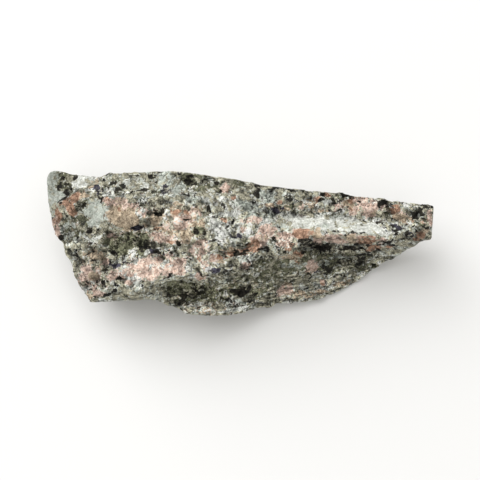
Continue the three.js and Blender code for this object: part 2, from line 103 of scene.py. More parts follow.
# The crystals and stains that show on the broken face, later ones over earlier ones. For each: its
# mineral, place along and across the face, half length, half width (all in mm), turn in degrees,
# and how much of the spot it fills
CRYSTALS = (
    # wide zones first
    (C, -32.3, 18.2, 18.4, 3.3, 6, 0.22), (C, -12.5, 20.4, 13.4, 2.7, 3, 0.28),
    (P, -2.9, 10.9, 14.9, 6.6, 6, 0.25), (C, -55.9, 1.6, 5.3, 4, 6, 0.5),
    (C, 34.1, -1, 17.8, 3.8, 1, 0.62), (C, 15.6, -5.6, 10.1, 4, 6, 0.55),
    (C, 4.4, -11.9, 7.4, 4.7, 6, 0.65), (C, -15.4, -16, 8.7, 3.7, 6, 0.85),
    (C, -7, -15.5, 4, 3.4, 6, 0.6), (C, -37.4, -2.8, 8, 3.7, 6, 0.8),
    (B, -51.3, -8, 5.3, 3.3, -24, 0.22), (T, -48.6, -9.7, 4.6, 5.3, 6, 0.4),
    (K, -48.5, -15.7, 5.3, 4, 6, 0.35), (K, -28.7, -9.5, 10.5, 3.3, 14, 0.55),
    (T, -23.9, 5.3, 12.6, 6, 6, 0.35), (T, -40, 6.6, 4.6, 4.6, 6, 0.85),
    (C, -36.2, -19.3, 11.2, 1.7, 6, 0.3), (T, -9.6, -21.3, 8, 1.7, 3, 0.2),
    (K, 40.1, 18.7, 7.4, 3, 1, 0.45), (B, 46.6, 5.9, 7.5, 1.7, 14, 0.35),
    # left end facet
    (Q, -66, 15.5, 2.7, 4.1, 6, 0.95), (Q, -63.8, 11.7, 3, 2.7, 26, 0.95),
    (Q, -65.7, 8, 1.7, 3, 6, 0.85), (C, -61.4, 16.4, 3.4, 3, 6, 0.75),
    (B, -60.9, 15.1, 0.8, 0.8, 6, 0.9), (B, -60.1, 12.7, 1.7, 0.8, 26, 1),
    (B, -62.8, 16.9, 0.8, 0.7, 6, 0.8), (B, -58.3, 18, 0.8, 0.7, 6, 0.9),
    (B, -63.2, 14.5, 1, 1, 6, 0.7), (B, -59, 14.6, 0.7, 1, 6, 0.7),
    (P, -55.2, 16.5, 3.3, 2.3, 6, 1), (P, -52.2, 18.2, 2.7, 1.3, 6, 0.9),
    (P, -52.8, 14.7, 2.3, 1.3, 6, 0.7), (T, -51.5, 16.2, 1.7, 1, 46, 0.8),
    (C, -50.6, 17.3, 1.3, 0.7, 46, 0.6), (V, -49.7, 14.3, 1, 1.7, 6, 0.9),
    (B, -48.7, 12.1, 0.7, 1.3, 66, 1), (B, -47.5, 10.8, 0.5, 1.3, -49, 1),
    (B, -46.1, 8.6, 0.8, 0.5, 6, 1), (R, -58.5, 10, 2.7, 1.3, 31, 1),
    (R, -56.5, 11.6, 2.7, 1.2, 16, 0.95), (T, -53.7, 11.8, 1.7, 0.8, 16, 0.9),
    (R, -57.4, 6.8, 1.7, 2, 6, 0.75), (R, -59.9, 8.3, 1.7, 1.3, 6, 0.7),
    (B, -63.2, 7.6, 1.3, 0.8, 51, 1), (B, -61.8, 9.8, 1.7, 0.4, 44, 1),
    (B, -59.9, 5.5, 0.8, 1, 6, 0.9), (B, -59.4, 4.2, 0.7, 0.7, 6, 0.9),
    (B, -61.2, 8.2, 0.7, 0.7, 6, 0.8), (R, -62.5, 5, 1.3, 2.4, 6, 0.8),
    (K, -63, 0.8, 1.5, 3, 6, 0.85), (R, -62.5, 2.6, 1, 1.7, 6, 0.6),
    (K, -62.1, -2.5, 1.7, 1, 6, 0.9), (B, -59.6, -2.5, 1.7, 0.8, 6, 0.75),
    (Q, -58.3, 0, 2.7, 2.7, 6, 0.4), (C, -53.1, 8.9, 1.2, 2.3, -44, 0.9),
    (B, -53.4, 8.9, 0.7, 0.7, 6, 1), (Q, -49.5, 6.9, 3.7, 3, 6, 1), (Q, -45.3, 8, 2, 1.3, -4, 0.95),
    (Q, -49.7, 3.5, 2, 1.3, 6, 0.95), (Q, -51.5, 9.7, 1.7, 1, 6, 0.8),
    (B, -50.7, 0.4, 1, 0.7, 6, 1), (B, -48.4, 1.3, 1.2, 0.5, 16, 1),
    (B, -53.6, -2.2, 0.7, 0.5, 6, 0.6), (P, -50, -2.5, 2.7, 1.3, 6, 0.5),
    (B, -48.5, -4, 0.7, 0.5, 6, 0.9),
    # tan, pink and green left of the middle
    (K, -44.6, 11.1, 2.3, 1, 6, 0.8), (R, -45.5, 11.7, 1, 0.7, 6, 0.5),
    (T, -41.6, 8.4, 3, 2.3, 6, 0.95), (T, -38.6, 6, 3.3, 3.3, 6, 0.95),
    (K, -37.8, 10.1, 2.7, 1.3, 6, 0.6), (K, -41.2, 10.8, 3, 0.8, 6, 0.7),
    (R, -41, 8.8, 0.7, 0.5, 6, 0.6), (K, -33.6, 8.3, 2, 1.7, 6, 0.6),
    (K, -43, -0.4, 2.3, 1.3, 6, 0.85), (P, -46.9, -0.8, 1.7, 1, 6, 0.6),
    (V, -34.4, 3.5, 2, 0.9, 18, 1), (C, -41.8, -2.6, 4.3, 1.7, 6, 0.95),
    (C, -36.5, -1.1, 3, 2.7, 6, 0.95), (C, -32.7, -3, 2.7, 2, 6, 0.95),
    (C, -39.8, -4.8, 2.7, 1.7, 6, 0.9), (C, -31, -0.5, 2.3, 1.7, -24, 0.95),
    (B, -37.7, 0.2, 0.7, 1, 6, 0.9), (B, -35.5, -1, 0.5, 1.3, 36, 1),
    (B, -30.5, -2.1, 1.3, 0.8, -14, 1), (B, -41.3, -5.9, 1, 1, 6, 0.7),
    (B, -32.3, -3.6, 1.3, 1, 6, 0.6), (P, -35.4, -5, 1.2, 2, -24, 0.9),
    (P, -36.7, -7.1, 1.7, 1, 6, 0.8), (P, -33.7, -8.1, 2, 1, 6, 0.8),
    (V, -40.8, -9.9, 2.3, 0.8, 11, 1), (B, -42.3, -9.1, 0.7, 0.7, 6, 0.9),
    (V, -37.1, -8.5, 1.3, 0.6, 6, 0.9), (V, -35.3, -9.3, 1, 0.5, 6, 0.8),
    (P, -37.9, -10.6, 1.3, 0.7, 6, 0.9),
    # lower left corner
    (B, -54.8, -8.1, 1.3, 0.7, -14, 1), (B, -53.5, -5.9, 1, 0.5, 6, 1),
    (B, -48.6, -7.1, 1, 0.7, 6, 0.9), (B, -47.5, -9.6, 1.7, 0.4, -9, 0.9),
    (B, -51, -10, 1, 0.7, 6, 0.5), (T, -46.8, -7.5, 2.3, 1.3, 6, 0.7),
    (K, -44.2, -9.6, 1.3, 1, 6, 0.8), (K, -50.3, -12.6, 2.3, 1.3, -9, 0.75),
    (K, -50.7, -15.3, 2, 1.3, 6, 0.7), (T, -47.2, -14.2, 2, 1.3, 6, 0.6),
    (B, -44.5, -11.6, 1.3, 0.7, 66, 0.8), (C, -43.2, -14.1, 1.7, 2.6, 6, 0.7),
    (B, -42.8, -12.1, 1, 1.3, 6, 0.7), (B, -43.4, -16.2, 1, 1.7, 6, 0.8),
    (B, -46.1, -16.1, 0.7, 1, 6, 0.8), (B, -49.8, -16.9, 1.3, 0.6, 6, 0.8),
    (P, -50.5, -19, 1.7, 1, 6, 0.9), (B, -48.3, -19.1, 0.5, 0.5, 6, 1),
    (K, -45.4, -19.8, 2, 1.3, 6, 0.9), (B, -42.3, -19.7, 1.3, 0.8, 26, 1),
    (B, -40.1, -17.8, 1.3, 1, 6, 1), (K, -40.7, -13.2, 1.5, 2, 6, 0.95),
    (B, -38.9, -14, 0.4, 1.3, 6, 0.9), (B, -39.6, -16.1, 0.7, 0.5, 6, 0.7),
    (T, -48.9, -21.6, 1.3, 1, 6, 0.7), (B, -48.6, -22.6, 1, 0.4, 6, 0.8),
    # bright pink and white crystals
    (K, -36, -12.4, 2.6, 1.7, 6, 0.95), (P, -37.5, -11.8, 1.3, 1.7, 6, 0.7),
    (K, -33.4, -10.7, 2.3, 1.7, 6, 0.8), (P, -34.4, -14.5, 2, 1, 6, 0.8),
    (K, -35.4, -15.3, 1.7, 0.8, 6, 0.9), (K, -30.5, -8.4, 2.6, 2, 6, 0.95),
    (P, -31.4, -12.8, 2, 1.3, 6, 0.6), (K, -28.1, -11.7, 2.6, 2, 6, 0.9),
    (B, -32.8, -13, 0.5, 0.5, 6, 0.9), (B, -30.3, -14, 1, 0.3, 16, 0.7),
    (B, -29, -7.2, 0.5, 0.5, 6, 0.7), (P, -28, -9.4, 1, 1.3, 6, 0.8),
    (K, -24.4, -9, 3.9, 2, 6, 0.95), (P, -23, -7.6, 2, 1.3, 6, 0.75),
    (K, -19.8, -6.6, 2.6, 1.3, 6, 0.85), (K, -21.3, -10, 3.3, 1, 6, 0.95),
    (K, -18.2, -8.4, 1.6, 1.6, 6, 0.9), (K, -23.4, -4.6, 3, 1, 6, 0.5),
    (B, -23.1, -11.9, 1.3, 0.4, 36, 1), (B, -21.2, -11, 1, 0.3, 26, 0.9),
    (B, -18.3, -13.1, 1.3, 0.4, -4, 1), (P, -15.5, -9.1, 1.3, 1.6, 6, 0.8),
    # upper left strip
    (B, -38.4, 20.3, 1.7, 0.6, 6, 0.8), (B, -41.2, 16.3, 1, 0.7, 6, 0.9),
    (B, -38.8, 16.2, 0.7, 0.5, 6, 0.8), (B, -34, 16, 1.5, 0.7, 16, 1),
    (B, -36.8, 15, 1.7, 0.3, 6, 0.8), (B, -48, 17.6, 0.7, 0.5, 6, 0.9),
    (B, -42.6, 14.7, 1, 0.5, 6, 0.8), (B, -45.1, 16.9, 1, 0.7, 6, 0.5),
    (B, -46.1, 15.4, 0.5, 0.5, 6, 0.7), (B, -43.6, 20.1, 0.7, 0.7, 6, 0.6),
    (P, -46.2, 14, 2.3, 1.3, 6, 0.8), (P, -39.7, 17.8, 1.7, 1, 6, 0.7),
    (P, -43.2, 12.6, 1.7, 0.7, 6, 0.5), (B, -32.4, 20.6, 1.2, 0.7, 6, 0.9),
    (B, -30.8, 19.1, 0.7, 0.3, 46, 0.7), (B, -30.6, 21.9, 1, 0.5, 6, 0.6),
    (P, -33.5, 17.1, 1.3, 0.7, 6, 0.6), (Q, -27.4, 21.2, 2, 2.7, 6, 0.9),
    (V, -26.4, 17.1, 1.3, 1.7, 6, 0.65), (B, -26.3, 16.8, 0.7, 1, 46, 0.9),
    (Q, -22.4, 17.5, 2.3, 2, 6, 0.85), (C, -19.9, 21.6, 3.3, 2, 6, 0.7),
    (B, -20, 19.9, 1.2, 0.7, 26, 0.9), (B, -18.1, 20.1, 1, 0.7, 26, 1),
    (B, -19.3, 22, 1.3, 0.5, 6, 0.7), (B, -19.1, 15.8, 1.3, 0.8, 6, 0.9),
    (B, -16.4, 15.8, 1, 0.5, 6, 0.6), (Q, -16.5, 14.1, 2.3, 1.3, 6, 0.8),
    (P, -13, 15.2, 2.3, 1.3, 6, 0.8), (B, -10.2, 21.3, 0.8, 0.5, 6, 0.9),
    (C, -12.8, 18.3, 3.3, 1.7, 6, 0.5), (C, -3.5, 21.4, 3, 1, 6, 0.6),
    (K, -7.3, 19.6, 1.3, 1.7, -34, 0.95), (R, -6.8, 18.6, 1, 1, 6, 0.5),
    (B, -8.5, 18.1, 0.5, 0.5, 6, 0.8), (B, -1.9, 19.2, 0.5, 1, -39, 0.9),
    (R, -4.1, 16.2, 1, 1, 6, 0.5), (B, -2.6, 17.4, 0.7, 0.5, 6, 0.5), (P, -7.1, 15.8, 2, 1, 6, 0.7),
    # tan and peach middle
    (B, -28.4, 9.2, 1.7, 1.2, 26, 1), (B, -25.9, 11.1, 1, 0.5, 46, 1),
    (B, -30.1, 10.3, 0.7, 0.5, 6, 0.8), (P, -24.6, 9.2, 1.3, 1.3, 51, 0.9),
    (P, -26.8, 7, 1.7, 0.7, 6, 0.6), (T, -21.9, 11.8, 1.7, 1, 6, 0.95),
    (R, -22.3, 10.1, 1.3, 0.8, 6, 0.85), (T, -29.7, 6, 1.7, 1.7, 6, 0.8),
    (R, -25.9, 4.4, 1.7, 0.8, 21, 0.8), (B, -27.8, 3.9, 0.9, 0.6, 6, 0.95),
    (R, -28.9, 4.4, 1.3, 1, 6, 0.5), (K, -16.1, 10.5, 2.6, 1.5, 6, 0.9),
    (R, -19, 10.1, 1, 0.5, 6, 0.6), (T, -14.3, 12, 1.3, 1, 6, 0.95),
    (K, -20, 6.7, 3.3, 2.3, 6, 0.95), (P, -19.4, 7.8, 1.7, 1, 6, 0.45),
    (K, -23.5, 5, 2.6, 1.3, 6, 0.8), (T, -23.1, 3.7, 4, 0.7, 6, 0.7),
    (K, -26.8, 1.3, 3, 1.3, 6, 0.8), (K, -22.7, 0.4, 4, 1.3, 6, 0.9),
    (T, -18.5, 2.2, 2, 1.7, 6, 0.8), (R, -23.2, -0.6, 1.2, 0.7, 6, 0.8),
    (B, -21.1, 1.3, 0.5, 0.5, 6, 0.7), (B, -18.5, 8.2, 1.2, 0.4, 6, 0.9),
    (B, -12, 11.9, 0.5, 2, 31, 1), (T, -15.2, 5.9, 2.3, 0.7, 16, 0.8),
    (B, -20.2, -1, 0.4, 1.3, 31, 0.9),
    # light middle with dark specks
    (P, -9.1, 7.5, 1.7, 2.6, 6, 0.9), (P, -4.9, 11.3, 4.3, 1.2, 6, 0.75),
    (P, -1.5, 13.4, 2.7, 1.3, 6, 0.4), (C, -13.7, 4.1, 3, 1.7, 6, 0.7),
    (B, -15, 3.9, 0.8, 0.8, 6, 1), (B, -11.7, 3.9, 1.3, 1, 6, 1), (B, -9.1, 9.6, 1.2, 0.7, 6, 1),
    (R, -6.3, 9.2, 1.3, 0.8, 6, 0.9), (B, -5.1, 6.7, 1.2, 0.3, 44, 1),
    (B, -3.3, 8.5, 0.3, 1.3, 36, 0.8), (B, -9.1, 1.6, 1.3, 0.5, 46, 1),
    (V, -1.8, 4, 2, 0.8, 6, 0.95), (B, -2.8, 3.9, 1, 0.5, 6, 0.7), (B, 1, 9, 0.5, 0.9, 6, 0.9),
    (B, -7.3, 0.1, 0.5, 1.2, 41, 0.9), (P, -6.3, 3.5, 2, 2, 6, 0.8), (P, -4.2, 2.1, 2, 0.7, 6, 0.7),
    (C, -7.9, -0.6, 2.3, 1, 6, 0.6), (B, -6.6, 14.8, 0.5, 0.5, 6, 0.6),
    (B, -7.4, 13.1, 0.4, 1, 6, 0.6), (Q, -0.6, 14.5, 2.7, 1.7, 6, 0.9),
    (K, 0.1, 8.2, 1.7, 2, 6, 0.45), (B, -30.4, -2.7, 1, 1.3, 56, 1),
    (V, -28.5, -3.9, 1.6, 1, -4, 1), (B, -26.8, -4, 1.3, 0.8, 6, 1),
    (V, -25.1, -4.5, 0.8, 0.5, 6, 0.8), (B, -31.2, -1.5, 0.7, 1, 6, 0.8),
    (P, -30.1, -4.4, 1, 1, 6, 0.8),
    # pink lower middle
    (K, -13.2, -1.2, 3, 2, 6, 0.8), (K, -16.3, -2.9, 1.3, 1.3, 6, 0.6),
    (B, -17.7, -2.7, 1, 0.3, 6, 0.8), (B, -12.8, -4.8, 0.7, 0.4, 6, 0.8),
    (R, -13.2, -4.2, 1, 0.7, 6, 0.6), (K, -7.9, -4.3, 2.3, 1.3, 6, 0.85),
    (R, -6.6, -3.8, 1, 0.8, 6, 0.9), (T, -5.5, -5, 1.3, 0.7, 6, 0.7),
    (K, -10.5, -6.9, 1.7, 1.7, 6, 0.7), (K, -12, -6.1, 1, 1.7, 6, 0.7),
    (P, -9.8, -7.8, 1.3, 1, 6, 0.8), (V, -7.5, -7.9, 1.7, 0.8, 6, 1),
    (B, -3.8, -8.2, 1.3, 0.6, 6, 1), (B, -0.3, -6.8, 1.7, 0.5, 11, 0.95),
    (B, -11.2, -9.9, 1.2, 0.4, 6, 0.9), (K, -12.2, -11.1, 1.7, 1, 6, 0.85),
    (R, -11.9, -11.5, 0.7, 0.5, 6, 0.7), (K, 2.3, -5.5, 1.5, 1, 26, 0.8),
    (P, -2.8, -5.1, 1.7, 0.7, 6, 0.5), (B, -16.7, -5.2, 0.3, 0.7, 6, 0.6),
    # brown streak
    (R, -1.2, -0.9, 4.3, 1, 6, 0.8), (T, -3.6, -0.5, 2.6, 0.5, 6, 0.6),
    (B, -1.5, -1.6, 1.7, 0.6, 6, 0.9), (B, -4.1, -2.6, 1, 0.5, 6, 0.7),
    (B, 2.4, -0.5, 1.3, 0.4, 6, 0.7), (C, 1.7, 3.1, 1.7, 0.6, 6, 0.8),
    (B, 0.8, 1.3, 2.3, 0.3, 11, 0.7),
    # black patches below the crest: black mica, partly painted shade in its dark hollows
    (B, -12.5, -14.3, 2.3, 1.2, 6, 0.75), (B, -14.6, -16.9, 3.4, 1.2, 16, 0.75),
    (B, -17.8, -19.9, 2.3, 1, 6, 0.75), (B, -22, -18.3, 2, 1, 6, 0.6), (B, 1.5, -16, 2, 1, 6, 0.85),
    (B, 2.6, -13.5, 2.4, 1.4, 6, 0.6), (B, -1.1, -14.6, 1.4, 1, 6, 0.5),
    (B, -4.4, -17.6, 1.7, 0.4, 6, 0.7), (C, -19.4, -14.3, 3.3, 1.3, 6, 0.9),
    (P, -13.1, -20.1, 2.7, 0.7, 6, 0.5), (P, -3.7, -15.2, 1.4, 1, 6, 0.4),
    (P, -4.3, -21.6, 1, 0.4, 6, 0.9), (P, -1.3, -20.9, 3, 0.4, 14, 1),
    (P, 2.9, -19.9, 2.4, 0.4, 14, 0.9), (B, -16.2, -22, 1.3, 0.3, -14, 0.7),
    (B, -8.4, -19.9, 0.3, 1, 46, 0.7), (B, -27.5, -18.1, 0.7, 0.3, 6, 0.9),
    (P, -39.5, -21.8, 4.6, 0.4, 6, 0.4),
    # upper right strip
    (B, 3.5, 19.5, 1.2, 2, -14, 1), (B, 3.5, 21.9, 2, 0.7, 1, 0.85),
    (B, 2.5, 16.3, 0.7, 1, 6, 0.85), (B, 9.3, 21.5, 4, 0.5, 1, 0.95),
    (B, 16.8, 21.5, 4.1, 0.4, 1, 0.85), (B, -1, 20.3, 0.7, 0.5, 6, 0.5),
    (C, 1.1, 19.5, 1.3, 1, 6, 0.6), (Q, 7, 17.8, 3, 2.4, 6, 0.9), (Q, 2.4, 13.9, 3, 1.3, 6, 0.85),
    (Q, 1.4, 11.4, 3, 1, 6, 0.6), (B, 8.9, 19, 1, 0.3, 41, 0.9), (B, 8.4, 20.4, 0.7, 0.4, 6, 0.7),
    (B, 3.1, 13.6, 0.5, 0.3, 6, 0.8), (R, 11.1, 17.2, 1.2, 1, 6, 0.8),
    (V, 11.1, 14.2, 1.5, 0.9, 6, 1), (B, 10.1, 14.1, 0.8, 0.7, 6, 0.8),
    (T, 14.1, 14.8, 1.3, 1.3, 6, 0.7), (C, 15, 15.6, 1.7, 1, 6, 0.6),
    (T, 8.3, 15.5, 1.7, 0.7, 6, 0.5), (B, 14.7, 18.3, 1.5, 0.8, 1, 0.95),
    (B, 12.9, 19.1, 0.7, 0.5, 6, 0.7), (B, 17.2, 17.6, 0.8, 0.4, 6, 0.7),
    (C, 17.9, 20.1, 2.7, 1, 6, 0.5), (K, 18, 16.3, 1.2, 0.8, 6, 0.7),
    (T, 21.2, 17.7, 2.4, 1.2, 6, 0.5), (P, 20.5, 18, 1.3, 0.7, 6, 0.5),
    (B, 16.9, 19.9, 0.7, 0.3, 6, 0.6), (R, 24, 19.7, 0.8, 1, 6, 0.9),
    (K, 23, 19.6, 0.7, 0.7, 6, 0.8), (R, 27.3, 21.4, 1.2, 0.8, 6, 1), (B, 25.3, 21, 1, 0.5, 6, 1),
    (B, 25.8, 19.2, 1, 0.5, 6, 1), (B, 28.8, 19.5, 0.8, 0.8, -24, 0.9),
    (P, 27.2, 18.3, 0.8, 0.8, 6, 0.9), (V, 31, 17.4, 1.9, 1.2, 6, 0.6),
    (K, 31, 17.4, 1.5, 0.8, 6, 0.75), (B, 30.2, 18.7, 1.7, 0.3, 16, 1),
    (B, 30.4, 16.2, 1.7, 0.3, 6, 0.9), (B, 28.3, 17.4, 0.3, 0.7, 6, 0.9),
    (B, 33.1, 17.3, 0.4, 0.7, 6, 0.8), (C, 27, 13.9, 1.2, 0.3, 16, 0.9),
    (C, 20.6, 13.9, 1.3, 0.3, 6, 0.7), (B, 19.1, 15.1, 1.3, 0.3, 6, 0.6),
    (C, 35.5, 14.5, 0.8, 0.5, 6, 0.8), (T, 25.2, 15.4, 2.7, 0.7, 6, 0.4),
    # white ledge
    (Q, 7.9, 12.5, 3.3, 1, 6, 0.7), (P, 6.9, 10, 3, 1.2, -4, 0.85),
    (P, 15.4, 12.3, 4.7, 1.2, 1, 0.9), (P, 20.6, 10.8, 4.7, 1.7, 6, 0.95),
    (P, 27.2, 11.9, 5.4, 2.2, 6, 0.95), (Q, 26.3, 10.4, 2.3, 0.7, 16, 0.5),
    (P, 34.2, 13, 4, 2, 6, 0.95), (Q, 31.4, 13.7, 2.7, 0.7, 6, 0.4), (P, 34, 10.1, 4.7, 0.6, 2, 1),
    (P, 41.7, 11.8, 4, 1.7, 6, 0.85), (P, 44.9, 14.8, 2.7, 1, 6, 0.6), (P, 47.1, 11, 3, 1, 6, 0.8),
    (Q, 11.6, 9.5, 2, 1, 6, 0.6), (B, 12, 8.9, 0.7, 0.3, 6, 0.5), (C, 39.9, 12.9, 1.3, 1, 6, 0.5),
    (V, 34.6, 12.3, 1, 0.5, 6, 0.5),
    # lip of the ledge
    (K, 2.9, 9.9, 2.7, 1.3, 6, 0.75), (B, 1, 9, 0.5, 1, 6, 0.9), (B, 4.8, 8.1, 0.5, 0.8, -24, 0.9),
    (K, 8.5, 7.1, 2.7, 1.7, 6, 0.9), (P, 7.4, 5.7, 1.3, 0.7, 6, 0.6),
    (B, 10.1, 8.3, 0.4, 0.7, 6, 0.8), (B, 4.4, 5.7, 1, 0.7, 6, 0.5), (K, 6.6, 3.6, 3, 1.7, 6, 0.9),
    (T, 7.5, 4.4, 1.7, 0.7, 6, 0.5), (B, 11.1, 4.8, 0.9, 0.9, 6, 1), (K, 14.4, 5.4, 2.7, 1.7, 6, 1),
    (P, 13.2, 4, 1, 0.7, 6, 0.5), (R, 15, 6.5, 0.7, 0.5, 6, 0.5), (K, 17.5, 7.8, 1.3, 0.8, 6, 0.7),
    (R, 20.2, 7.4, 3, 1.4, 6, 0.75), (K, 19.7, 6.3, 2.3, 0.8, 6, 0.9), (T, 23.2, 7.7, 1, 1, 6, 0.7),
    (T, 25.1, 8.3, 0.9, 1.2, 6, 0.9), (K, 25.5, 5.6, 1.3, 1.3, -14, 0.9),
    (K, 31.8, 6.3, 2.7, 1.3, 6, 0.55), (R, 4.6, 0.7, 2, 0.9, -4, 0.95),
    (R, 5.4, 2.1, 1.3, 1, 6, 0.7), (B, 7.2, 1, 2, 0.4, 21, 0.95), (B, 9.5, 1.6, 1, 0.3, 6, 0.9),
    (B, 9.6, 0.3, 0.3, 1, 6, 0.8), (R, 16.4, 2.3, 2.7, 1, 6, 0.55), (R, 19, 0.2, 1.7, 1.3, 6, 0.85),
    (R, 18.9, -1.8, 1.3, 0.7, 6, 0.6), (B, 15.2, 0.8, 1, 0.5, 6, 1),
    (B, 20.5, 5.1, 1.5, 0.7, -4, 1), (B, 22.9, 4.5, 2, 1.1, -9, 1), (B, 21, 3.5, 1, 0.7, 6, 0.9),
    (B, 20.6, 1.2, 1.2, 0.7, 6, 0.9), (B, 27.6, 3.5, 2, 1.4, 6, 1), (B, 29.5, 2, 1.7, 0.8, 6, 0.95),
    (B, 24.6, 3.2, 1, 0.7, 6, 0.7), (C, 24, 1.7, 2.4, 0.7, 6, 0.8),
    (B, 32.1, 3.1, 3.1, 0.7, 4, 0.95), (B, 28.4, 9, 0.7, 0.3, 6, 0.8),
    (B, 31.4, 9, 1.3, 0.3, 1, 0.9), (B, 34.2, 7.9, 0.7, 0.5, -24, 0.9),
    (B, 29.7, 6.8, 0.4, 0.3, 6, 0.7), (T, 26.7, 6.8, 0.8, 1, 6, 0.5),
    (P, 27.9, 7.9, 1.3, 0.7, 6, 0.6),
    # lower right face
    (C, 15.8, -4.5, 3.7, 1.5, 6, 0.95), (Q, 15.1, -3.9, 2.7, 0.7, 6, 0.35),
    (K, 24.5, -3, 2, 1.5, 6, 0.8), (K, 24.2, -5.4, 1.7, 1, 6, 0.6), (B, 28.3, -2.6, 1, 1, 6, 1),
    (B, 29.9, -3.8, 1.4, 0.7, 6, 0.8), (B, 16.1, -6.6, 0.7, 0.4, 6, 1),
    (V, 27.3, -5.5, 1.4, 0.7, 6, 0.5), (B, 18.5, -9.8, 0.8, 1.4, 6, 0.95),
    (B, 17.4, -9.2, 0.7, 0.5, 6, 0.7), (B, 23.7, -7.6, 0.7, 1.5, 6, 0.95),
    (B, 22.9, -9.4, 1, 0.5, 6, 0.8), (B, 20.5, -6.8, 0.4, 0.7, 6, 0.6),
    (K, 29.1, -8.4, 1, 0.8, 51, 1), (R, 28.7, -8.8, 0.5, 0.4, 6, 0.6),
    (K, 16.1, -12.5, 2.7, 1.5, 6, 0.95), (T, 16.5, -10.4, 1.7, 0.9, 6, 0.7),
    (K, 14.9, -14.7, 0.9, 0.7, 6, 0.7), (B, 10.2, -1.7, 1.2, 0.5, -14, 0.9),
    (B, 12.9, -2.1, 0.9, 0.6, 6, 0.9), (B, 7.2, -1.7, 0.9, 0.4, -24, 0.9),
    (T, 15.1, -1.2, 2.7, 1, 6, 0.5), (C, 7.7, -3.6, 3, 1.3, 6, 0.6),
    (B, 6.5, -8.9, 0.6, 0.8, 6, 0.9), (P, 6.1, -7.9, 1, 0.4, -14, 0.7),
    (B, 1.9, -9, 1.2, 0.5, 36, 0.9), (B, 3.4, -6.8, 0.7, 0.4, 6, 0.6),
    (B, 6.1, -14.8, 1, 0.8, 6, 0.7), (B, 2.3, -14.5, 1.4, 1.7, 6, 0.6),
    (T, 21.6, -13.3, 4.8, 0.9, 6, 0.4), (T, 27.8, -12.4, 4.1, 0.9, 26, 0.5),
    (P, 19.2, -16.5, 2.7, 0.4, 8, 1), (P, 22.9, -15.4, 1.4, 0.4, 26, 1),
    (P, 9.1, -18, 3.4, 0.3, 11, 0.4), (C, 14.3, -8.9, 2.7, 1, 6, 0.5),
    # right strip
    (B, 35.1, 21.3, 1.2, 0.7, 6, 0.95), (C, 30.7, 20.7, 3, 0.7, 6, 0.6),
    (B, 32.7, 21.5, 2, 0.3, 0, 0.8), (B, 39.5, 21.4, 2.7, 0.3, 0, 0.6),
    (K, 39.9, 20.4, 3, 1.2, 6, 0.95), (K, 42.7, 19, 1.7, 1.7, 6, 0.95),
    (P, 41.9, 20.6, 1.4, 0.7, 6, 0.6), (K, 38.9, 16.9, 3, 1, 6, 0.9),
    (T, 35.7, 18.6, 1.4, 1, 6, 0.85), (R, 34.9, 19.9, 1.2, 0.8, 6, 0.8),
    (K, 36.3, 16.3, 1.4, 1, 6, 0.8), (R, 35.8, 17.3, 0.7, 0.5, 6, 0.6),
    (T, 33.6, 18.7, 1, 1.4, 6, 0.7), (B, 40.4, 18.9, 1.4, 0.3, 6, 1),
    (B, 37.9, 20.2, 0.7, 0.3, -24, 0.9), (B, 37.5, 14.1, 0.9, 0.3, 36, 0.9),
    (B, 38.8, 14.9, 0.3, 0.3, 6, 0.8), (B, 45.6, 20.7, 1.7, 0.9, -4, 1),
    (B, 44.7, 19.5, 0.9, 0.9, 6, 0.9), (B, 48.5, 20.4, 2, 0.5, -9, 0.9),
    (B, 47.2, 22.1, 1.7, 0.4, 0, 0.9), (B, 47.2, 18.5, 0.7, 0.7, 6, 0.5),
    (C, 47.6, 17.9, 2, 1.4, 6, 0.6), (T, 44, 16.8, 1.4, 1, 6, 0.4),
    (R, 50.9, 19.6, 1.2, 1.2, 6, 0.8), (V, 49.9, 18.8, 1, 0.9, 6, 0.8),
    (B, 50.6, 18.2, 1, 0.4, 6, 0.9), (B, 47.8, 19.2, 0.7, 0.5, 6, 0.6),
    (R, 50.7, 17.2, 1.4, 0.9, 6, 0.85), (T, 50.9, 16.2, 1, 0.7, 6, 0.8),
    (K, 53.4, 17.4, 1.7, 1.2, 6, 0.9), (V, 53.7, 17.5, 1, 0.7, 6, 0.35),
    (T, 53.9, 15.5, 2.4, 1, -9, 0.85), (K, 52.5, 16, 1.4, 0.7, 6, 0.5),
    (R, 55.6, 15, 1.4, 0.9, 6, 1), (B, 56.5, 16.1, 0.4, 1, 26, 0.9),
    (B, 55.4, 13.9, 1.3, 0.3, -4, 0.8), (B, 57, 17.8, 1.1, 0.7, -44, 1),
    (B, 58.2, 17, 0.7, 1.1, 6, 0.8), (B, 59, 19.1, 0.9, 1.4, 36, 0.9),
    (B, 60.1, 17.5, 0.8, 1.1, 6, 0.7), (B, 55.6, 19, 0.7, 0.3, 6, 0.8),
    (B, 58.2, 20.7, 1, 0.5, 6, 0.8), (B, 60.9, 20.7, 1.5, 0.6, 6, 0.95),
    (B, 60.9, 22, 2, 0.3, -2, 0.8), (R, 60.3, 15.5, 1, 1.3, 6, 0.4),
    (R, 62.2, 18.7, 0.6, 1, 6, 0.8), (K, 62.2, 16.4, 0.7, 1.7, 6, 0.85),
    (P, 54.4, 20.6, 1.4, 0.8, 6, 0.8), (P, 56.9, 20.6, 0.8, 0.5, 6, 0.7),
    (B, 55.1, 21.7, 1.4, 0.3, 6, 0.6), (C, 59, 15.3, 1.5, 1.5, 6, 0.6),
    (B, 60.4, 13.8, 1.3, 0.7, 6, 0.5), (B, 55.5, 10.9, 1.5, 1.2, 6, 1),
    (V, 56.9, 10.7, 1.3, 0.9, 6, 0.6), (B, 57.8, 12.2, 0.7, 0.5, 6, 0.8),
    (R, 59.5, 11.7, 0.9, 1, 6, 1), (T, 60.8, 12.5, 1.2, 1.1, 6, 0.85),
    (R, 58.3, 9.5, 1.5, 0.5, 6, 0.8), (C, 61.6, 10.5, 0.8, 0.7, 6, 0.8),
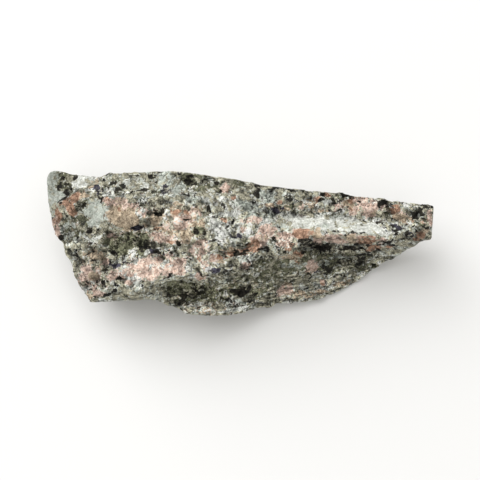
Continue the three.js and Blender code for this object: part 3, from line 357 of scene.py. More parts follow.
    (Q, 52.8, 12.3, 2, 1, 6, 0.5), (B, 44.9, 13.5, 1.1, 0.4, -9, 0.95),
    (B, 47, 12.8, 1, 0.3, -14, 0.95), (B, 49.3, 12.6, 1.1, 0.4, -24, 0.8),
    (B, 50.8, 11.4, 0.8, 0.4, -24, 0.6), (V, 50, 12.3, 2.4, 1.3, 6, 0.4),
    (B, 51.6, 9.5, 0.3, 1.1, 26, 0.6), (B, 52.9, 10.6, 0.3, 1, 6, 0.6),
    (B, 50, 8.3, 0.3, 0.7, 6, 0.6),
    # right band and the shaded slope
    (K, 38, 7.7, 2.3, 1.1, 6, 0.8), (T, 36.1, 6.8, 2, 1, 6, 0.6), (R, 41.5, 7, 2.2, 0.9, 6, 0.9),
    (K, 45.2, 8.1, 2.7, 1, 6, 0.65), (K, 34.5, 6.3, 1.7, 1, 6, 0.5),
    (B, 35.4, 8.7, 0.5, 0.7, 6, 0.8), (B, 40.1, 9.6, 0.8, 0.3, 6, 0.6),
    (B, 38.7, 6.1, 1, 0.5, 26, 0.9), (B, 37.4, 4.2, 4.1, 0.7, 6, 0.9),
    (B, 44.3, 3.9, 3.1, 0.5, 11, 0.8), (R, 44.7, 5.3, 2.7, 1, 6, 0.5),
    (B, 42.2, 5.4, 0.7, 0.5, 6, 0.7), (B, 46.7, 6.6, 1, 0.5, 6, 0.6),
    (R, 49.4, 5.8, 1.4, 0.7, 6, 0.5), (B, 51.2, 6.9, 1.5, 0.6, 6, 1),
    (B, 54.4, 7.9, 1.3, 0.4, 16, 0.85), (B, 51.6, 4.7, 1.7, 0.3, 16, 0.7),
    (Q, 52.9, 5.9, 1.7, 0.5, 21, 0.6), (Q, 34.5, 0.6, 3.4, 0.7, 6, 0.45),
    (B, 35.2, -1.2, 2.1, 0.8, 6, 0.85), (B, 40.5, -0.3, 1.5, 0.6, 16, 0.9),
    (B, 41.7, 1.6, 0.9, 1.2, 6, 0.7), (B, 44.6, 2.9, 2.1, 0.3, 11, 0.7),
    (B, 47, 1.6, 1.7, 0.3, 6, 0.8), (P, 37.9, 1.2, 1.7, 0.3, 6, 0.3),
    (B, 33.7, -3.1, 2.1, 0.5, 6, 0.5), (B, 38.4, -2.6, 2.4, 0.4, 16, 0.5),
    (P, 39, -4, 2.1, 0.3, 21, 0.5), (B, 35, -5.4, 1, 0.5, 6, 0.8),
    (B, 44.6, -0.9, 1.7, 0.3, 26, 0.5), (P, 49.8, 2.8, 2.7, 0.5, 21, 0.6),
    (P, 48.2, 0.5, 2.1, 0.6, 31, 0.5), (P, 42.3, -4.7, 3.5, 0.4, 36, 0.5),
    (T, 35, -8.5, 3.4, 0.8, 26, 0.4), (B, 38.6, -8.6, 0.8, 0.3, 26, 0.9),
    (P, 31.6, -9.6, 3.4, 0.5, 21, 0.5),
    # single large crystals over the rest
    (V, 11, 14.1, 1.7, 1, 6, 1), (B, 3.7, 18.5, 1.7, 0.8, 71, 1), (B, 4.3, 21.1, 1.7, 0.7, 6, 1),
    (K, 7.8, 7.1, 2.7, 1.8, 26, 0.95), (K, 14.2, 4.4, 2.3, 1.5, 26, 1),
    (R, 4.9, 1.2, 1.7, 0.9, 26, 0.9), (R, 20.2, 7.3, 3.3, 1.2, 6, 1),
    (T, 24.9, 7.1, 1.5, 1.2, 6, 0.95), (K, 30, 7, 2.7, 1.1, 6, 0.85),
    (T, 36.7, 7.3, 2, 1.1, 1, 0.85), (R, 42.1, 7.6, 2.7, 1.1, 1, 0.8),
    (B, 21.2, 4.3, 3, 0.9, -8, 1), (B, 27.6, 3.5, 2.5, 1.1, 1, 1), (B, 33.3, 4.4, 2, 0.6, 6, 0.9),
    (B, 36, 9.4, 2.7, 0.3, 3, 0.8), (T, 17.9, -1.3, 2, 1.1, -4, 0.75),
    (K, 16.4, -12.1, 2.4, 1.2, 11, 0.8), (K, 24.6, -4, 2.4, 1.1, -4, 0.7),
    (R, 50.3, 18.8, 1.4, 0.9, 6, 0.9), (T, 53.5, 16.1, 2.7, 1.5, -14, 0.95),
    (P, 55.3, 14.9, 1.2, 0.7, 6, 0.8), (B, 57.8, 17.2, 1, 1.2, 66, 0.95),
    (R, 59.9, 11, 1.5, 0.9, 21, 0.95), (K, 61.7, 18.3, 0.6, 1.7, 6, 0.8),
    (B, 56.2, 10.8, 1.8, 0.8, 21, 0.95), (B, 60.6, 21, 1.7, 0.8, 1, 0.8),
    (Q, 19.4, -3.5, 2.7, 0.9, 11, 0.6), (Q, 28.2, -1.8, 2.7, 0.8, 11, 0.5),
    (B, 36.3, 0.1, 3.1, 0.8, 11, 0.7), (B, 40.9, 1.8, 2.1, 0.5, 16, 0.7),
    (B, -27.2, 9.7, 2, 1, 21, 1), (P, -34.2, 8.2, 1.7, 1.2, 36, 0.7),
    (B, -0.6, -1, 2, 0.9, 11, 0.9), (R, -3.1, -2.4, 1.7, 0.5, 26, 0.7),
)


# Worn spots, and spots made lighter or darker, partly for the stone's tone and partly as painted
# light and shade: place along and across, half length and half width in mm, turn in degrees, how
# much smoother and how much lighter they are
SPOTS = (
    (-66, 13, 5, 9, 10, 0.9, -0.18), (-55, 17.5, 6, 3.5, 0, 0.75, 0.0),
    (-49, 6.5, 4.5, 4.5, 0, 0.9, 0.08), (-56, 1.5, 4.5, 4, 0, 0.6, -0.34),
    (-39.7, 6.6, 4.5, 4, 0, 0.4, 0.14), (-31.6, 17.6, 16, 4, 0, 0.65, -0.03),
    (-6, 18, 8, 4, 0, 0.4, 0.02), (-21, 5.6, 9, 6, 0, 0.2, 0.5), (-5, 7, 7, 7, 0, 0.2, 0.5),
    (-11, -5.5, 6, 6, 0, 0.1, 0.5), (-27.5, -11, 11, 4, -4, 0.4, 0.38),
    # the second spot lightens the ledge: partly its white feldspar, partly painted light on its lit
    # top
    (-36, -20, 14, 2.5, 6, 0.8, -0.18), (30, 10.5, 22, 3, 3, 0.97, 0.18),
    (38, 18, 7, 3, 0, 0.3, 0.28), (14.5, 5, 11, 3, 3, 0.1, 0.32), (17, 18.6, 11, 3, 0, 0.1, -0.06),
    # the second spot paints shade on the steep drop under the bright ledge
    (-49.6, -12.5, 5, 7, 0, 0.1, -0.22), (35, -0.5, 12, 2.5, 5, 0.3, -0.36),
    (3, -14.5, 6, 3, 8, 0.3, 0.02), (-8, -21, 11, 2.5, 4, 0.3, -0.02),
    # the first spot paints shade in the crevice under the ledge's lip
    (25, 3.2, 6, 2.5, 5, 0.0, -0.38), (54, 17.4, 8, 4, 0, 0.1, 0.14),
    (18, -7, 12, 5, 10, 0.45, -0.12), (30, -8.7, 11, 4, 15, 0.45, -0.16),
    (61, 13, 4, 6, 0, 0.2, -0.2), (-0.5, -1.2, 5, 3, 0, 0.0, 0.3),
    (-15.8, -16.7, 6, 3, 0, 0.2, 0.1), (-36.8, -2.4, 6, 4, 0, 0.0, 0.16),
)
# The edge under which the darker lower slope begins: places along and across, in mm
SLOPE_TOP = ((-50, -19), (-30, -16.5), (-10, -13), (10, -8), (30, -1), (50, 4), (65, 8))
LEDGE = (30, 10.5, 22, 3.5, 3)  # the bright fibrous step: place, half length and width, and turn


@dataclass(frozen=True)
class Patch:
    """An oval on the broken face: one crystal, cluster, stain or worn spot.

    Args:
        along: Its middle's place along the core's axis, in mm.
        across: Its middle's place across the face, in mm.
        length: Half its length, in mm.
        width: Half its width, in mm.
        turn: How far its length is turned from the axis, in degrees.
    """

    along: float
    across: float
    length: float
    width: float
    turn: float

    def weight(self, along: np.ndarray, across: np.ndarray) -> np.ndarray:
        """How strongly the patch covers each place.

        Args:
            along: Places along the axis, in mm.
            across: Places across the face, in mm.

        Returns:
            0 outside it, 1 in its middle and less towards its edge.
        """
        angle = math.radians(self.turn)
        du, dw = along - self.along, across - self.across
        far = np.hypot(
            (du * math.cos(angle) + dw * math.sin(angle)) / self.length,
            (dw * math.cos(angle) - du * math.sin(angle)) / self.width,
        )
        return np.clip((PATCH_END - far) / PATCH_FADE, 0.0, 1.0)


PATCH_END = 1.35  # how far out a patch ends, for its half length and width
PATCH_FADE = 0.6  # how wide the edge is over which it fades, for the same


@dataclass(frozen=True)
class FaceFrame:
    """The directions of the broken face: along the core's axis, across the face, and out of it.

    Args:
        axis: A point of the core's axis in the row frame, in mm.
        roll: How far the face leans towards its lower edge.
        radius: The drilled core's radius, in mm.
    """

    axis: tuple[float, float, float]
    roll: float = math.radians(15)
    radius: float = 23.8

    @classmethod
    def of(cls, points: np.ndarray) -> "FaceFrame":
        """Finds the axis from the flat spot under the stone and its square end.

        Args:
            points: The CAD solid's corners, in mm.

        Returns:
            The frame of the stone's face.
        """
        flat = points[points[:, 2] < FLAT_TOLERANCE]
        middle = (flat[:, 1].min() + flat[:, 1].max()) / 2
        level = math.sqrt(cls.radius**2 - FLAT_HALF_WIDTH**2)
        return cls((points[:, 0].max() - SQUARE_END, float(middle), level))

    def places(self, points: np.ndarray) -> np.ndarray:
        """Turns row frame points into places along, across and out of the face.

        Args:
            points: Points in the row frame, in mm.

        Returns:
            One row per point: along, across and out, in mm.
        """
        return self.turned(points - np.array(self.axis))

    def turned(self, ways: np.ndarray) -> np.ndarray:
        """Turns row frame directions into directions along, across and out of the face.

        Args:
            ways: Directions in the row frame.

        Returns:
            One row per direction: along, across and out.
        """
        c, s = math.cos(self.roll), math.sin(self.roll)
        return np.stack(
            [ways[:, 0], ways[:, 1] * c + ways[:, 2] * s, ways[:, 2] * c - ways[:, 1] * s],
            axis=1,
        )


def linear(colour: str) -> tuple[float, float, float, float]:
    """Turns an sRGB hex colour into the linear one that a shader takes.

    Args:
        colour: The colour, as in "c8b0a0".

    Returns:
        Linear red, green, blue and alpha.
    """
    parts = [int(colour[i : i + 2], 16) / 255 for i in (0, 2, 4)]
    flat = [c / 12.92 if c <= 0.04045 else ((c + 0.055) / 1.055) ** 2.4 for c in parts]
    return (*flat, 1.0)


def add_node(
    tree: bpy.types.NodeTree,
    kind: str,
    inputs: dict[str | int, object] | None = None,
    **settings: object,
) -> bpy.types.Node:
    """Adds a node with its settings, values and links.

    Args:
        tree: The node tree.
        kind: The node's type, such as "ShaderNodeMath".
        inputs: For each input's name or number, a value, or what to link from. That is an output
            socket, or a node for its first output.
        **settings: The node's own properties.

    Returns:
        The new node.
    """
    made = tree.nodes.new(kind)
    for name, value in settings.items():
        setattr(made, name, value)
    for name, value in (inputs or {}).items():
        if isinstance(value, bpy.types.Node):
            tree.links.new(value.outputs[0], made.inputs[name])
        elif isinstance(value, bpy.types.NodeSocket):
            tree.links.new(value, made.inputs[name])
        else:
            made.inputs[name].default_value = value
    return made


def between(side: str, ends: tuple[float, float]) -> dict[str, float]:
    """The two inputs of a Map Range node on one side, "From" or "To"."""
    return {f"{side} Min": ends[0], f"{side} Max": ends[1]}


@dataclass(frozen=True)
class Tones:
    """The darkest and lightest colour of one mineral's grains, as sRGB hex."""

    dark: str
    light: str


@dataclass(frozen=True)
class Granodiorite:
    """Granodiorite as it breaks: interlocking crystals of feldspar, quartz and dark mica.

    It gives the eye a coarse salt and pepper stone, matt and crumbly, with gaps between its
    crystals painted black as shade, painted shade in its hollows and pits, and painted light on its
    crumbs' tops and painted glints on small splinters. The drilled back shows the same grains
    ground smooth, with faint rings from the bit. Sizes are the real ones, except for the grit and
    the rings, which are drawn coarser than they are so that they show.
    """

    name: str = "granodiorite_broken_and_drilled"
    tones: dict[Mineral, Tones] = field(
        default_factory=lambda: {
            Mineral.BIOTITE: Tones("020202", "3c3931"),
            Mineral.VIOLET: Tones("100f16", "5c5a67"),
            Mineral.CHLORITE: Tones("2a2b1c", "98997f"),
            Mineral.RUST: Tones("5e412f", "d4ae95"),
            Mineral.TAN: Tones("72604d", "e7d5bb"),
            Mineral.PINK: Tones("a18170", "fbe5d7"),
            Mineral.PALE: Tones("a2a499", "f2f4f0"),
            Mineral.QUARTZ: Tones("7a8277", "e2e7de"),
            Mineral.MATRIX: Tones("3b3a2a", "d6d2bc"),
        }
    )
    coarse_grain: float = 1.6  # mm across a crystal
    fine_grain: float = 0.6  # mm across the pieces that a crystal has split into
    grain_mixing: float = 0.38  # how far such a piece strays from its crystal's mineral
    border: float = 16.0  # how sharply one mineral gives way to the next
    grain_tone: float = 0.5  # how far grains differ from dark to light
    crumb_painted_light: float = 0.5  # painted light on the crumbs' tops, painted shade at their feet: how far the tops are lighter
    warp: float = 1.0  # mm that the crystals' borders wander
    warp_waves: float = 0.7  # such wanderings in a mm
    crumb: float = 0.75  # mm across the crumbly lumps of the break
    crumb_relief: float = 0.75  # mm
    grit: float = 0.42  # mm across the pits and splinters that carry painted shade and painted glints, drawn coarser than they are
    pits: float = 0.25  # the share of the surface painted dark as shaded pits
    painted_pit_shade: float = 0.08  # painted shade: how light the darkest pits are beside their grain
    splinters: float = 0.2  # the share of the surface with painted glints on splinters
    painted_glint_shade: float = 1.75  # painted glints: how light the brightest splinters are beside their grain
    feldspar_grit: float = 0.72  # how strongly grit shows on rust, tan and pink crystals
    worn_grit: float = 0.15  # how strongly grit shows on worn places
    worn_shade: float = 0.66  # how light worn places are beside their mineral
    gaps: tuple[tuple[float, float, float], ...] = (
        (1.9, 0.2, 0.46),
        (4.2, 0.3, 0.5),
    )  # for each kind: mm between gaps, mm wide, and the noise that opens them
    gap_waves: float = 0.9  # how often a gap opens and closes along a crystal
    gap_change: float = 0.15  # how quickly it does
    painted_gap_shade: float = 0.04  # painted shade: how light a gap is beside its crystals
    gap_depth: float = 0.2  # mm
    cloud: float = 3.5  # mm across the lighter and darker clouds
    cloud_shade: tuple[float, float] = (0.78, 1.32)  # how light the darkest and lightest are
    hollow_depth: tuple[float, float] = (-0.7, 0.1)  # mm, from the deepest hollows to the highest tops
    painted_hollow_shade: tuple[float, float] = (0.2, 1.15)  # painted shade in the hollows and painted light on the tops: how light those are
    streak: tuple[float, float, float] = (6.5, 0.85, 0.85)  # mm, the slope's streaks on each axis
    streak_turn: float = math.radians(18)  # how far they turn from the core's axis
    streak_noise: tuple[float, float] = (0.38, 0.62)  # the noise where they are darkest, lightest
    streak_shade: tuple[float, float] = (0.32, 1.75)  # how light those are
    ring_pitch: float = 1.1  # mm between the drilled surface's rings, drawn coarser than they are
    ring_depth: float = 0.02  # mm
    worn_bump: float = 0.3  # how much of its fine relief a worn place keeps
    broken_bump: float = 0.85  # how much of it a broken place shows
    matt: float = 0.7  # roughness of most minerals
    glint: float = 0.4  # roughness of the black and violet mica, whose flakes shine a little
    gloss: float = 0.1  # a dusty break reflects little
    ior: float = 1.54  # quartz and feldspar
    lightest: tuple[float, float, float] = (0.84, 0.84, 0.82)  # linear, no painted glint on a splinter is lighter

    def build(self) -> bpy.types.Material:
        """Makes the material.

        Returns:
            The stone's material.
        """
        material = bpy.data.materials.new(self.name)
        material.use_nodes = True
        tree = material.node_tree
        tree.nodes.clear()
        spot = self._millimetres(tree)
        wander = self._warped(tree, spot)
        marks = self._marks(tree)
        crumbs = add_node(
            tree,
            "ShaderNodeTexNoise",
            {"Vector": spot, "Scale": 1 / self.crumb, "Detail": 4.0, "Roughness": 0.68},
        )
        grains = add_node(
            tree,
            "ShaderNodeTexVoronoi",
            {"Vector": wander, "Scale": 1 / self.fine_grain},
            distance="MANHATTAN",
        )
        gaps = self._gaps(tree, wander)
        colour, before = self._minerals(tree, marks, wander, grains, crumbs)
        feldspar = add_node(
            tree,
            "ShaderNodeMath",
            {0: before[Mineral.PINK.value], 1: before[Mineral.CHLORITE.value]},
            operation="SUBTRACT",
        )
        shade = self._shade(tree, spot, marks, gaps, feldspar)
        shaded = add_node(
            tree, "ShaderNodeVectorMath", {0: colour, "Scale": shade}, operation="SCALE"
        )
        capped = add_node(
            tree, "ShaderNodeVectorMath", {0: shaded, 1: self.lightest}, operation="MINIMUM"
        )
        height = self._height(tree, spot, marks, grains, crumbs, gaps)
        depth = add_node(
            tree,
            "ShaderNodeMapRange",
            {"Value": marks["rough"], "To Min": self.worn_bump, "To Max": self.broken_bump},
        )
        bump = add_node(
            tree, "ShaderNodeBump", {"Strength": depth, "Distance": MM, "Height": height}
        )
        glints = add_node(
            tree,
            "ShaderNodeMapRange",
            {"Value": before[Mineral.VIOLET.value], "To Min": self.matt, "To Max": self.glint},
        )
        shader = add_node(
            tree,
            "ShaderNodeBsdfPrincipled",
            {
                "Base Color": capped,
                "Roughness": glints,
                "Normal": bump,
                "IOR": self.ior,
                "Specular IOR Level": self.gloss,
            },
        )
        add_node(tree, "ShaderNodeOutputMaterial", {"Surface": shader})
        return material

    def _millimetres(self, tree: bpy.types.NodeTree) -> bpy.types.Node:
        """The place on the stone.

        Args:
            tree: The material's nodes.

        Returns:
            The place, in mm.
        """
        spot = add_node(tree, "ShaderNodeTexCoord")
        inputs = {0: spot.outputs["Object"], "Scale": 1 / MM}
        return add_node(tree, "ShaderNodeVectorMath", inputs, operation="SCALE")

    def _warped(self, tree: bpy.types.NodeTree, spot: bpy.types.Node) -> bpy.types.Node:
        """The place, moved a little by noise, so that the crystals' borders aren't straight.

        Args:
            tree: The material's nodes.
            spot: The place on the stone, in mm.

        Returns:
            The moved place, in mm.
        """
        wobble = add_node(
            tree,
            "ShaderNodeTexNoise",
            {"Vector": spot, "Scale": self.warp_waves, "Detail": 5.0, "Roughness": 0.55},
        )
        centred = add_node(
            tree,
            "ShaderNodeVectorMath",
            {0: wobble.outputs["Color"], 1: HALF},
            operation="SUBTRACT",
        )
        moved = add_node(
            tree,
            "ShaderNodeVectorMath",
            {0: centred, 1: (2 * self.warp,) * 3, 2: spot},
            operation="MULTIPLY_ADD",
        )
        return moved

    def _marks(self, tree: bpy.types.NodeTree) -> dict[str, bpy.types.NodeSocket]:
        """What the mesh carries at each place.

        Args:
            tree: The material's nodes.

        Returns:
            For each name in MARKS, its value.
        """
        marks = {}
        for group in MARKS:
            held = add_node(tree, "ShaderNodeAttribute", attribute_name="_".join(group))
            parts = add_node(tree, "ShaderNodeSeparateXYZ", {0: held.outputs["Vector"]})
            marks.update(zip(group, parts.outputs))
        return marks

    def _minerals(
        self,
        tree: bpy.types.NodeTree,
        marks: dict[str, bpy.types.NodeSocket],
        spot: bpy.types.Node,
        grains: bpy.types.Node,
        crumbs: bpy.types.Node,
    ) -> tuple[bpy.types.NodeSocket, list[bpy.types.Node]]:
        """The colour of the grain at each place, picked by the shares that the mesh carries.

        Args:
            tree: The material's nodes.
            marks: What the mesh carries.
            spot: The warped place on the stone, in mm.
            grains: The pieces that the crystals have split into.
            crumbs: The crumbly lumps, whose tops get painted light and whose feet painted shade.

        Returns:
            The colour, and for each mineral 1 where the grain is that one or one before it.
        """
        crystals = add_node(
            tree,
            "ShaderNodeTexVoronoi",
            {"Vector": spot, "Scale": 1 / self.coarse_grain},
            distance="CHEBYCHEV",
        )
        crystal = add_node(tree, "ShaderNodeSeparateXYZ", {0: crystals.outputs["Color"]})
        grain = add_node(tree, "ShaderNodeSeparateXYZ", {0: grains.outputs["Color"]})
        strayed = add_node(
            tree, "ShaderNodeMath", {0: grain.outputs["X"], 1: 0.5}, operation="SUBTRACT"
        )
        pick = add_node(
            tree,
            "ShaderNodeMath",
            {0: strayed, 1: self.grain_mixing, 2: crystal.outputs["X"]},
            operation="MULTIPLY_ADD",
            use_clamp=True,
        )
        # painted light on the crumbs' tops and painted shade at their feet, added to the grains'
        # tone
        crumb_top_light = add_node(
            tree, "ShaderNodeMapRange", {"Value": crumbs, **MIDDLE, "To Max": self.crumb_painted_light}
        )
        tone = add_node(
            tree,
            "ShaderNodeMath",
            {0: grain.outputs["Y"], 1: self.grain_tone, 2: crumb_top_light},
            operation="MULTIPLY_ADD",
        )
        matrix = self.tones[Mineral.MATRIX]
        colour = add_node(
            tree,
            "ShaderNodeMix",
            {0: tone, MIX_A: linear(matrix.dark), MIX_B: linear(matrix.light)},
            data_type="RGBA",
        )
        before = []
        for mineral in reversed(list(Mineral)[:-1]):
            tones = self.tones[mineral]
            own = add_node(
                tree,
                "ShaderNodeMix",
                {0: tone, MIX_A: linear(tones.dark), MIX_B: linear(tones.light)},
                data_type="RGBA",
            )
            margin = add_node(
                tree, "ShaderNodeMath", {0: marks[mineral.name], 1: pick}, operation="SUBTRACT"
            )
            chosen = add_node(
                tree,
                "ShaderNodeMath",
                {0: margin, 1: self.border},
                operation="MULTIPLY",
                use_clamp=True,
            )
            colour = add_node(
                tree,
                "ShaderNodeMix",
                {0: chosen, MIX_A: colour.outputs[MIXED], MIX_B: own.outputs[MIXED]},
                data_type="RGBA",
            )
            before.insert(0, chosen)
        return colour.outputs[MIXED], before

    def _gaps(self, tree: bpy.types.NodeTree, spot: bpy.types.Node) -> bpy.types.Node:
        """Gaps between the crystals, which come and go along their borders.

        Args:
            tree: The material's nodes.
            spot: The warped place on the stone, in mm.

        Returns:
            0 in a gap and 1 outside it.
        """
        open_ones = None
        for grain, width, where in self.gaps:
            edge = add_node(
                tree,
                "ShaderNodeTexVoronoi",
                {"Vector": spot, "Scale": 1 / grain},
                feature="DISTANCE_TO_EDGE",
            )
            wobble = add_node(
                tree,
                "ShaderNodeTexNoise",
                {"Vector": spot, "Scale": self.gap_waves / grain, "Detail": 2.0},
            )
            opened = add_node(
                tree,
                "ShaderNodeMapRange",
                {
                    "Value": wobble,
                    "From Min": where,
                    "From Max": where + self.gap_change,
                    "To Min": CLOSED,
                    "To Max": width / grain,
                },
            )
            side = add_node(
                tree, "ShaderNodeMapRange", {"Value": edge.outputs["Distance"], "From Max": opened}
            )
            if open_ones is not None:
                side = add_node(
                    tree, "ShaderNodeMath", {0: side, 1: open_ones}, operation="MULTIPLY"
                )
            open_ones = side
        return open_ones

    def _shade(
        self,
        tree: bpy.types.NodeTree,
        spot: bpy.types.Node,
        marks: dict[str, bpy.types.NodeSocket],
        gaps: bpy.types.Node,
        feldspar: bpy.types.Node,
    ) -> bpy.types.Node:
        """How much lighter each place is than its mineral: random clouds, painted shade in gaps,
        hollows and pits, painted light on tops, painted glints on splinters, spots of tone and of
        painted light and shade, and streaks on the slope.

        Args:
            tree: The material's nodes.
            spot: The place on the stone, in mm.
            marks: What the mesh carries.
            gaps: The gaps between the crystals.
            feldspar: 1 where the grain is rust, tan or pink feldspar, which breaks flatter.

        Returns:
            The factor for the colour.
        """
        clouds = add_node(
            tree, "ShaderNodeTexNoise", {"Vector": spot, "Scale": 1 / self.cloud, "Detail": 3.0}
        )
        cloudy = add_node(
            tree,
            "ShaderNodeMapRange",
            {"Value": clouds, **MIDDLE, **between("To", self.cloud_shade)},
        )
        # painted shade in the gaps between the crystals
        painted_gap = add_node(tree, "ShaderNodeMapRange", {"Value": gaps, "To Min": self.painted_gap_shade})
        # painted shade in the relief's hollows and painted light on its tops
        painted_relief_shade = add_node(
            tree,
            "ShaderNodeMapRange",
            {
                "Value": marks["relief"],
                **between("From", self.hollow_depth),
                **between("To", self.painted_hollow_shade),
            },
        )
        cells = add_node(tree, "ShaderNodeTexVoronoi", {"Vector": spot, "Scale": 1 / self.grit})
        random = add_node(tree, "ShaderNodeSeparateXYZ", {0: cells.outputs["Color"]})
        # painted shade in tiny pits, where a cell's random value is low
        pits = add_node(
            tree,
            "ShaderNodeMapRange",
            {"Value": random.outputs["X"], "From Max": self.pits, "To Min": self.painted_pit_shade},
        )
        # painted glints on splinters, where a cell's random value is high
        splinters = add_node(
            tree,
            "ShaderNodeMapRange",
            {
                "Value": random.outputs["Y"],
                "From Min": 1 - self.splinters,
                "To Min": 1.0,
                "To Max": self.painted_glint_shade,
            },
        )
        stretched = add_node(
            tree,
            "ShaderNodeMapping",
            {"Vector": spot, "Rotation": (0.0, 0.0, self.streak_turn), "Scale": self.streak},
            vector_type="TEXTURE",
        )
        streaks = add_node(
            tree,
            "ShaderNodeTexNoise",
            {"Vector": stretched, "Scale": 1.0, "Detail": 4.0, "Roughness": 0.65},
        )
        streaky = add_node(
            tree,
            "ShaderNodeMapRange",
            {
                "Value": streaks,
                **between("From", self.streak_noise),
                **between("To", self.streak_shade),
            },
        )
        along = add_node(tree, "ShaderNodeMix", {"Factor": marks["slope"], "A": 1.0, "B": streaky})
        total = cloudy
        for part in (painted_gap, painted_relief_shade, pits, splinters):
            total = add_node(tree, "ShaderNodeMath", {0: total, 1: part}, operation="MULTIPLY")
        worn = add_node(
            tree, "ShaderNodeMapRange", {"Value": marks["rough"], "To Min": self.worn_grit}
        )
        flat = add_node(
            tree,
            "ShaderNodeMapRange",
            {"Value": feldspar, "To Min": 1.0, "To Max": self.feldspar_grit},
        )
        gritty = add_node(tree, "ShaderNodeMath", {0: worn, 1: flat}, operation="MULTIPLY")
        eased = add_node(
            tree, "ShaderNodeMix", {"Factor": gritty, "A": self.worn_shade, "B": total}
        )
        # the spots' lightening and darkening, partly painted light and shade
        lit = add_node(tree, "ShaderNodeMath", {0: eased, 1: marks["light"]}, operation="MULTIPLY")
        return add_node(tree, "ShaderNodeMath", {0: lit, 1: along}, operation="MULTIPLY")

    def _height(
        self,
        tree: bpy.types.NodeTree,
        spot: bpy.types.Node,
        marks: dict[str, bpy.types.NodeSocket],
        grains: bpy.types.Node,
        crumbs: bpy.types.Node,
        gaps: bpy.types.Node,
    ) -> bpy.types.Node:
        """The fine relief: tilted grains, crumbs and gaps where broken, rings where drilled.

        Args:
            tree: The material's nodes.
            spot: The place on the stone, in mm.
            marks: What the mesh carries.
            grains: The grains, each of which tilts its own way around its middle.
            crumbs: The crumbly lumps.
            gaps: The gaps between the crystals.

        Returns:
            The height, in mm.
        """
        away = add_node(
            tree,
            "ShaderNodeVectorMath",
            {0: spot, 1: grains.outputs["Position"]},
            operation="SUBTRACT",
        )
        lean = add_node(
            tree,
            "ShaderNodeVectorMath",
            {0: grains.outputs["Color"], 1: HALF},
            operation="SUBTRACT",
        )
        tilt = add_node(tree, "ShaderNodeVectorMath", {0: away, 1: lean}, operation="DOT_PRODUCT")
        crumbly = add_node(
            tree,
            "ShaderNodeMath",
            {0: crumbs, 1: self.crumb_relief, 2: tilt.outputs["Value"]},
            operation="MULTIPLY_ADD",
        )
        broken = add_node(
            tree,
            "ShaderNodeMath",
            {0: gaps, 1: self.gap_depth, 2: crumbly},
            operation="MULTIPLY_ADD",
        )
        rings = add_node(
            tree,
            "ShaderNodeTexWave",
            {"Vector": spot, "Scale": 1 / (2 * self.ring_pitch), "Distortion": 0.6, "Detail": 2.0},
            bands_direction="X",
        )
        ground = add_node(
            tree,
            "ShaderNodeMath",
            {0: rings.outputs["Fac"], 1: self.ring_depth},
            operation="MULTIPLY",
        )
        return add_node(
            tree, "ShaderNodeMix", {"Factor": marks["drilled"], "A": broken, "B": ground}
        )


CLOSED = 0.001  # how wide a closed gap is drawn, since a range has to have a width


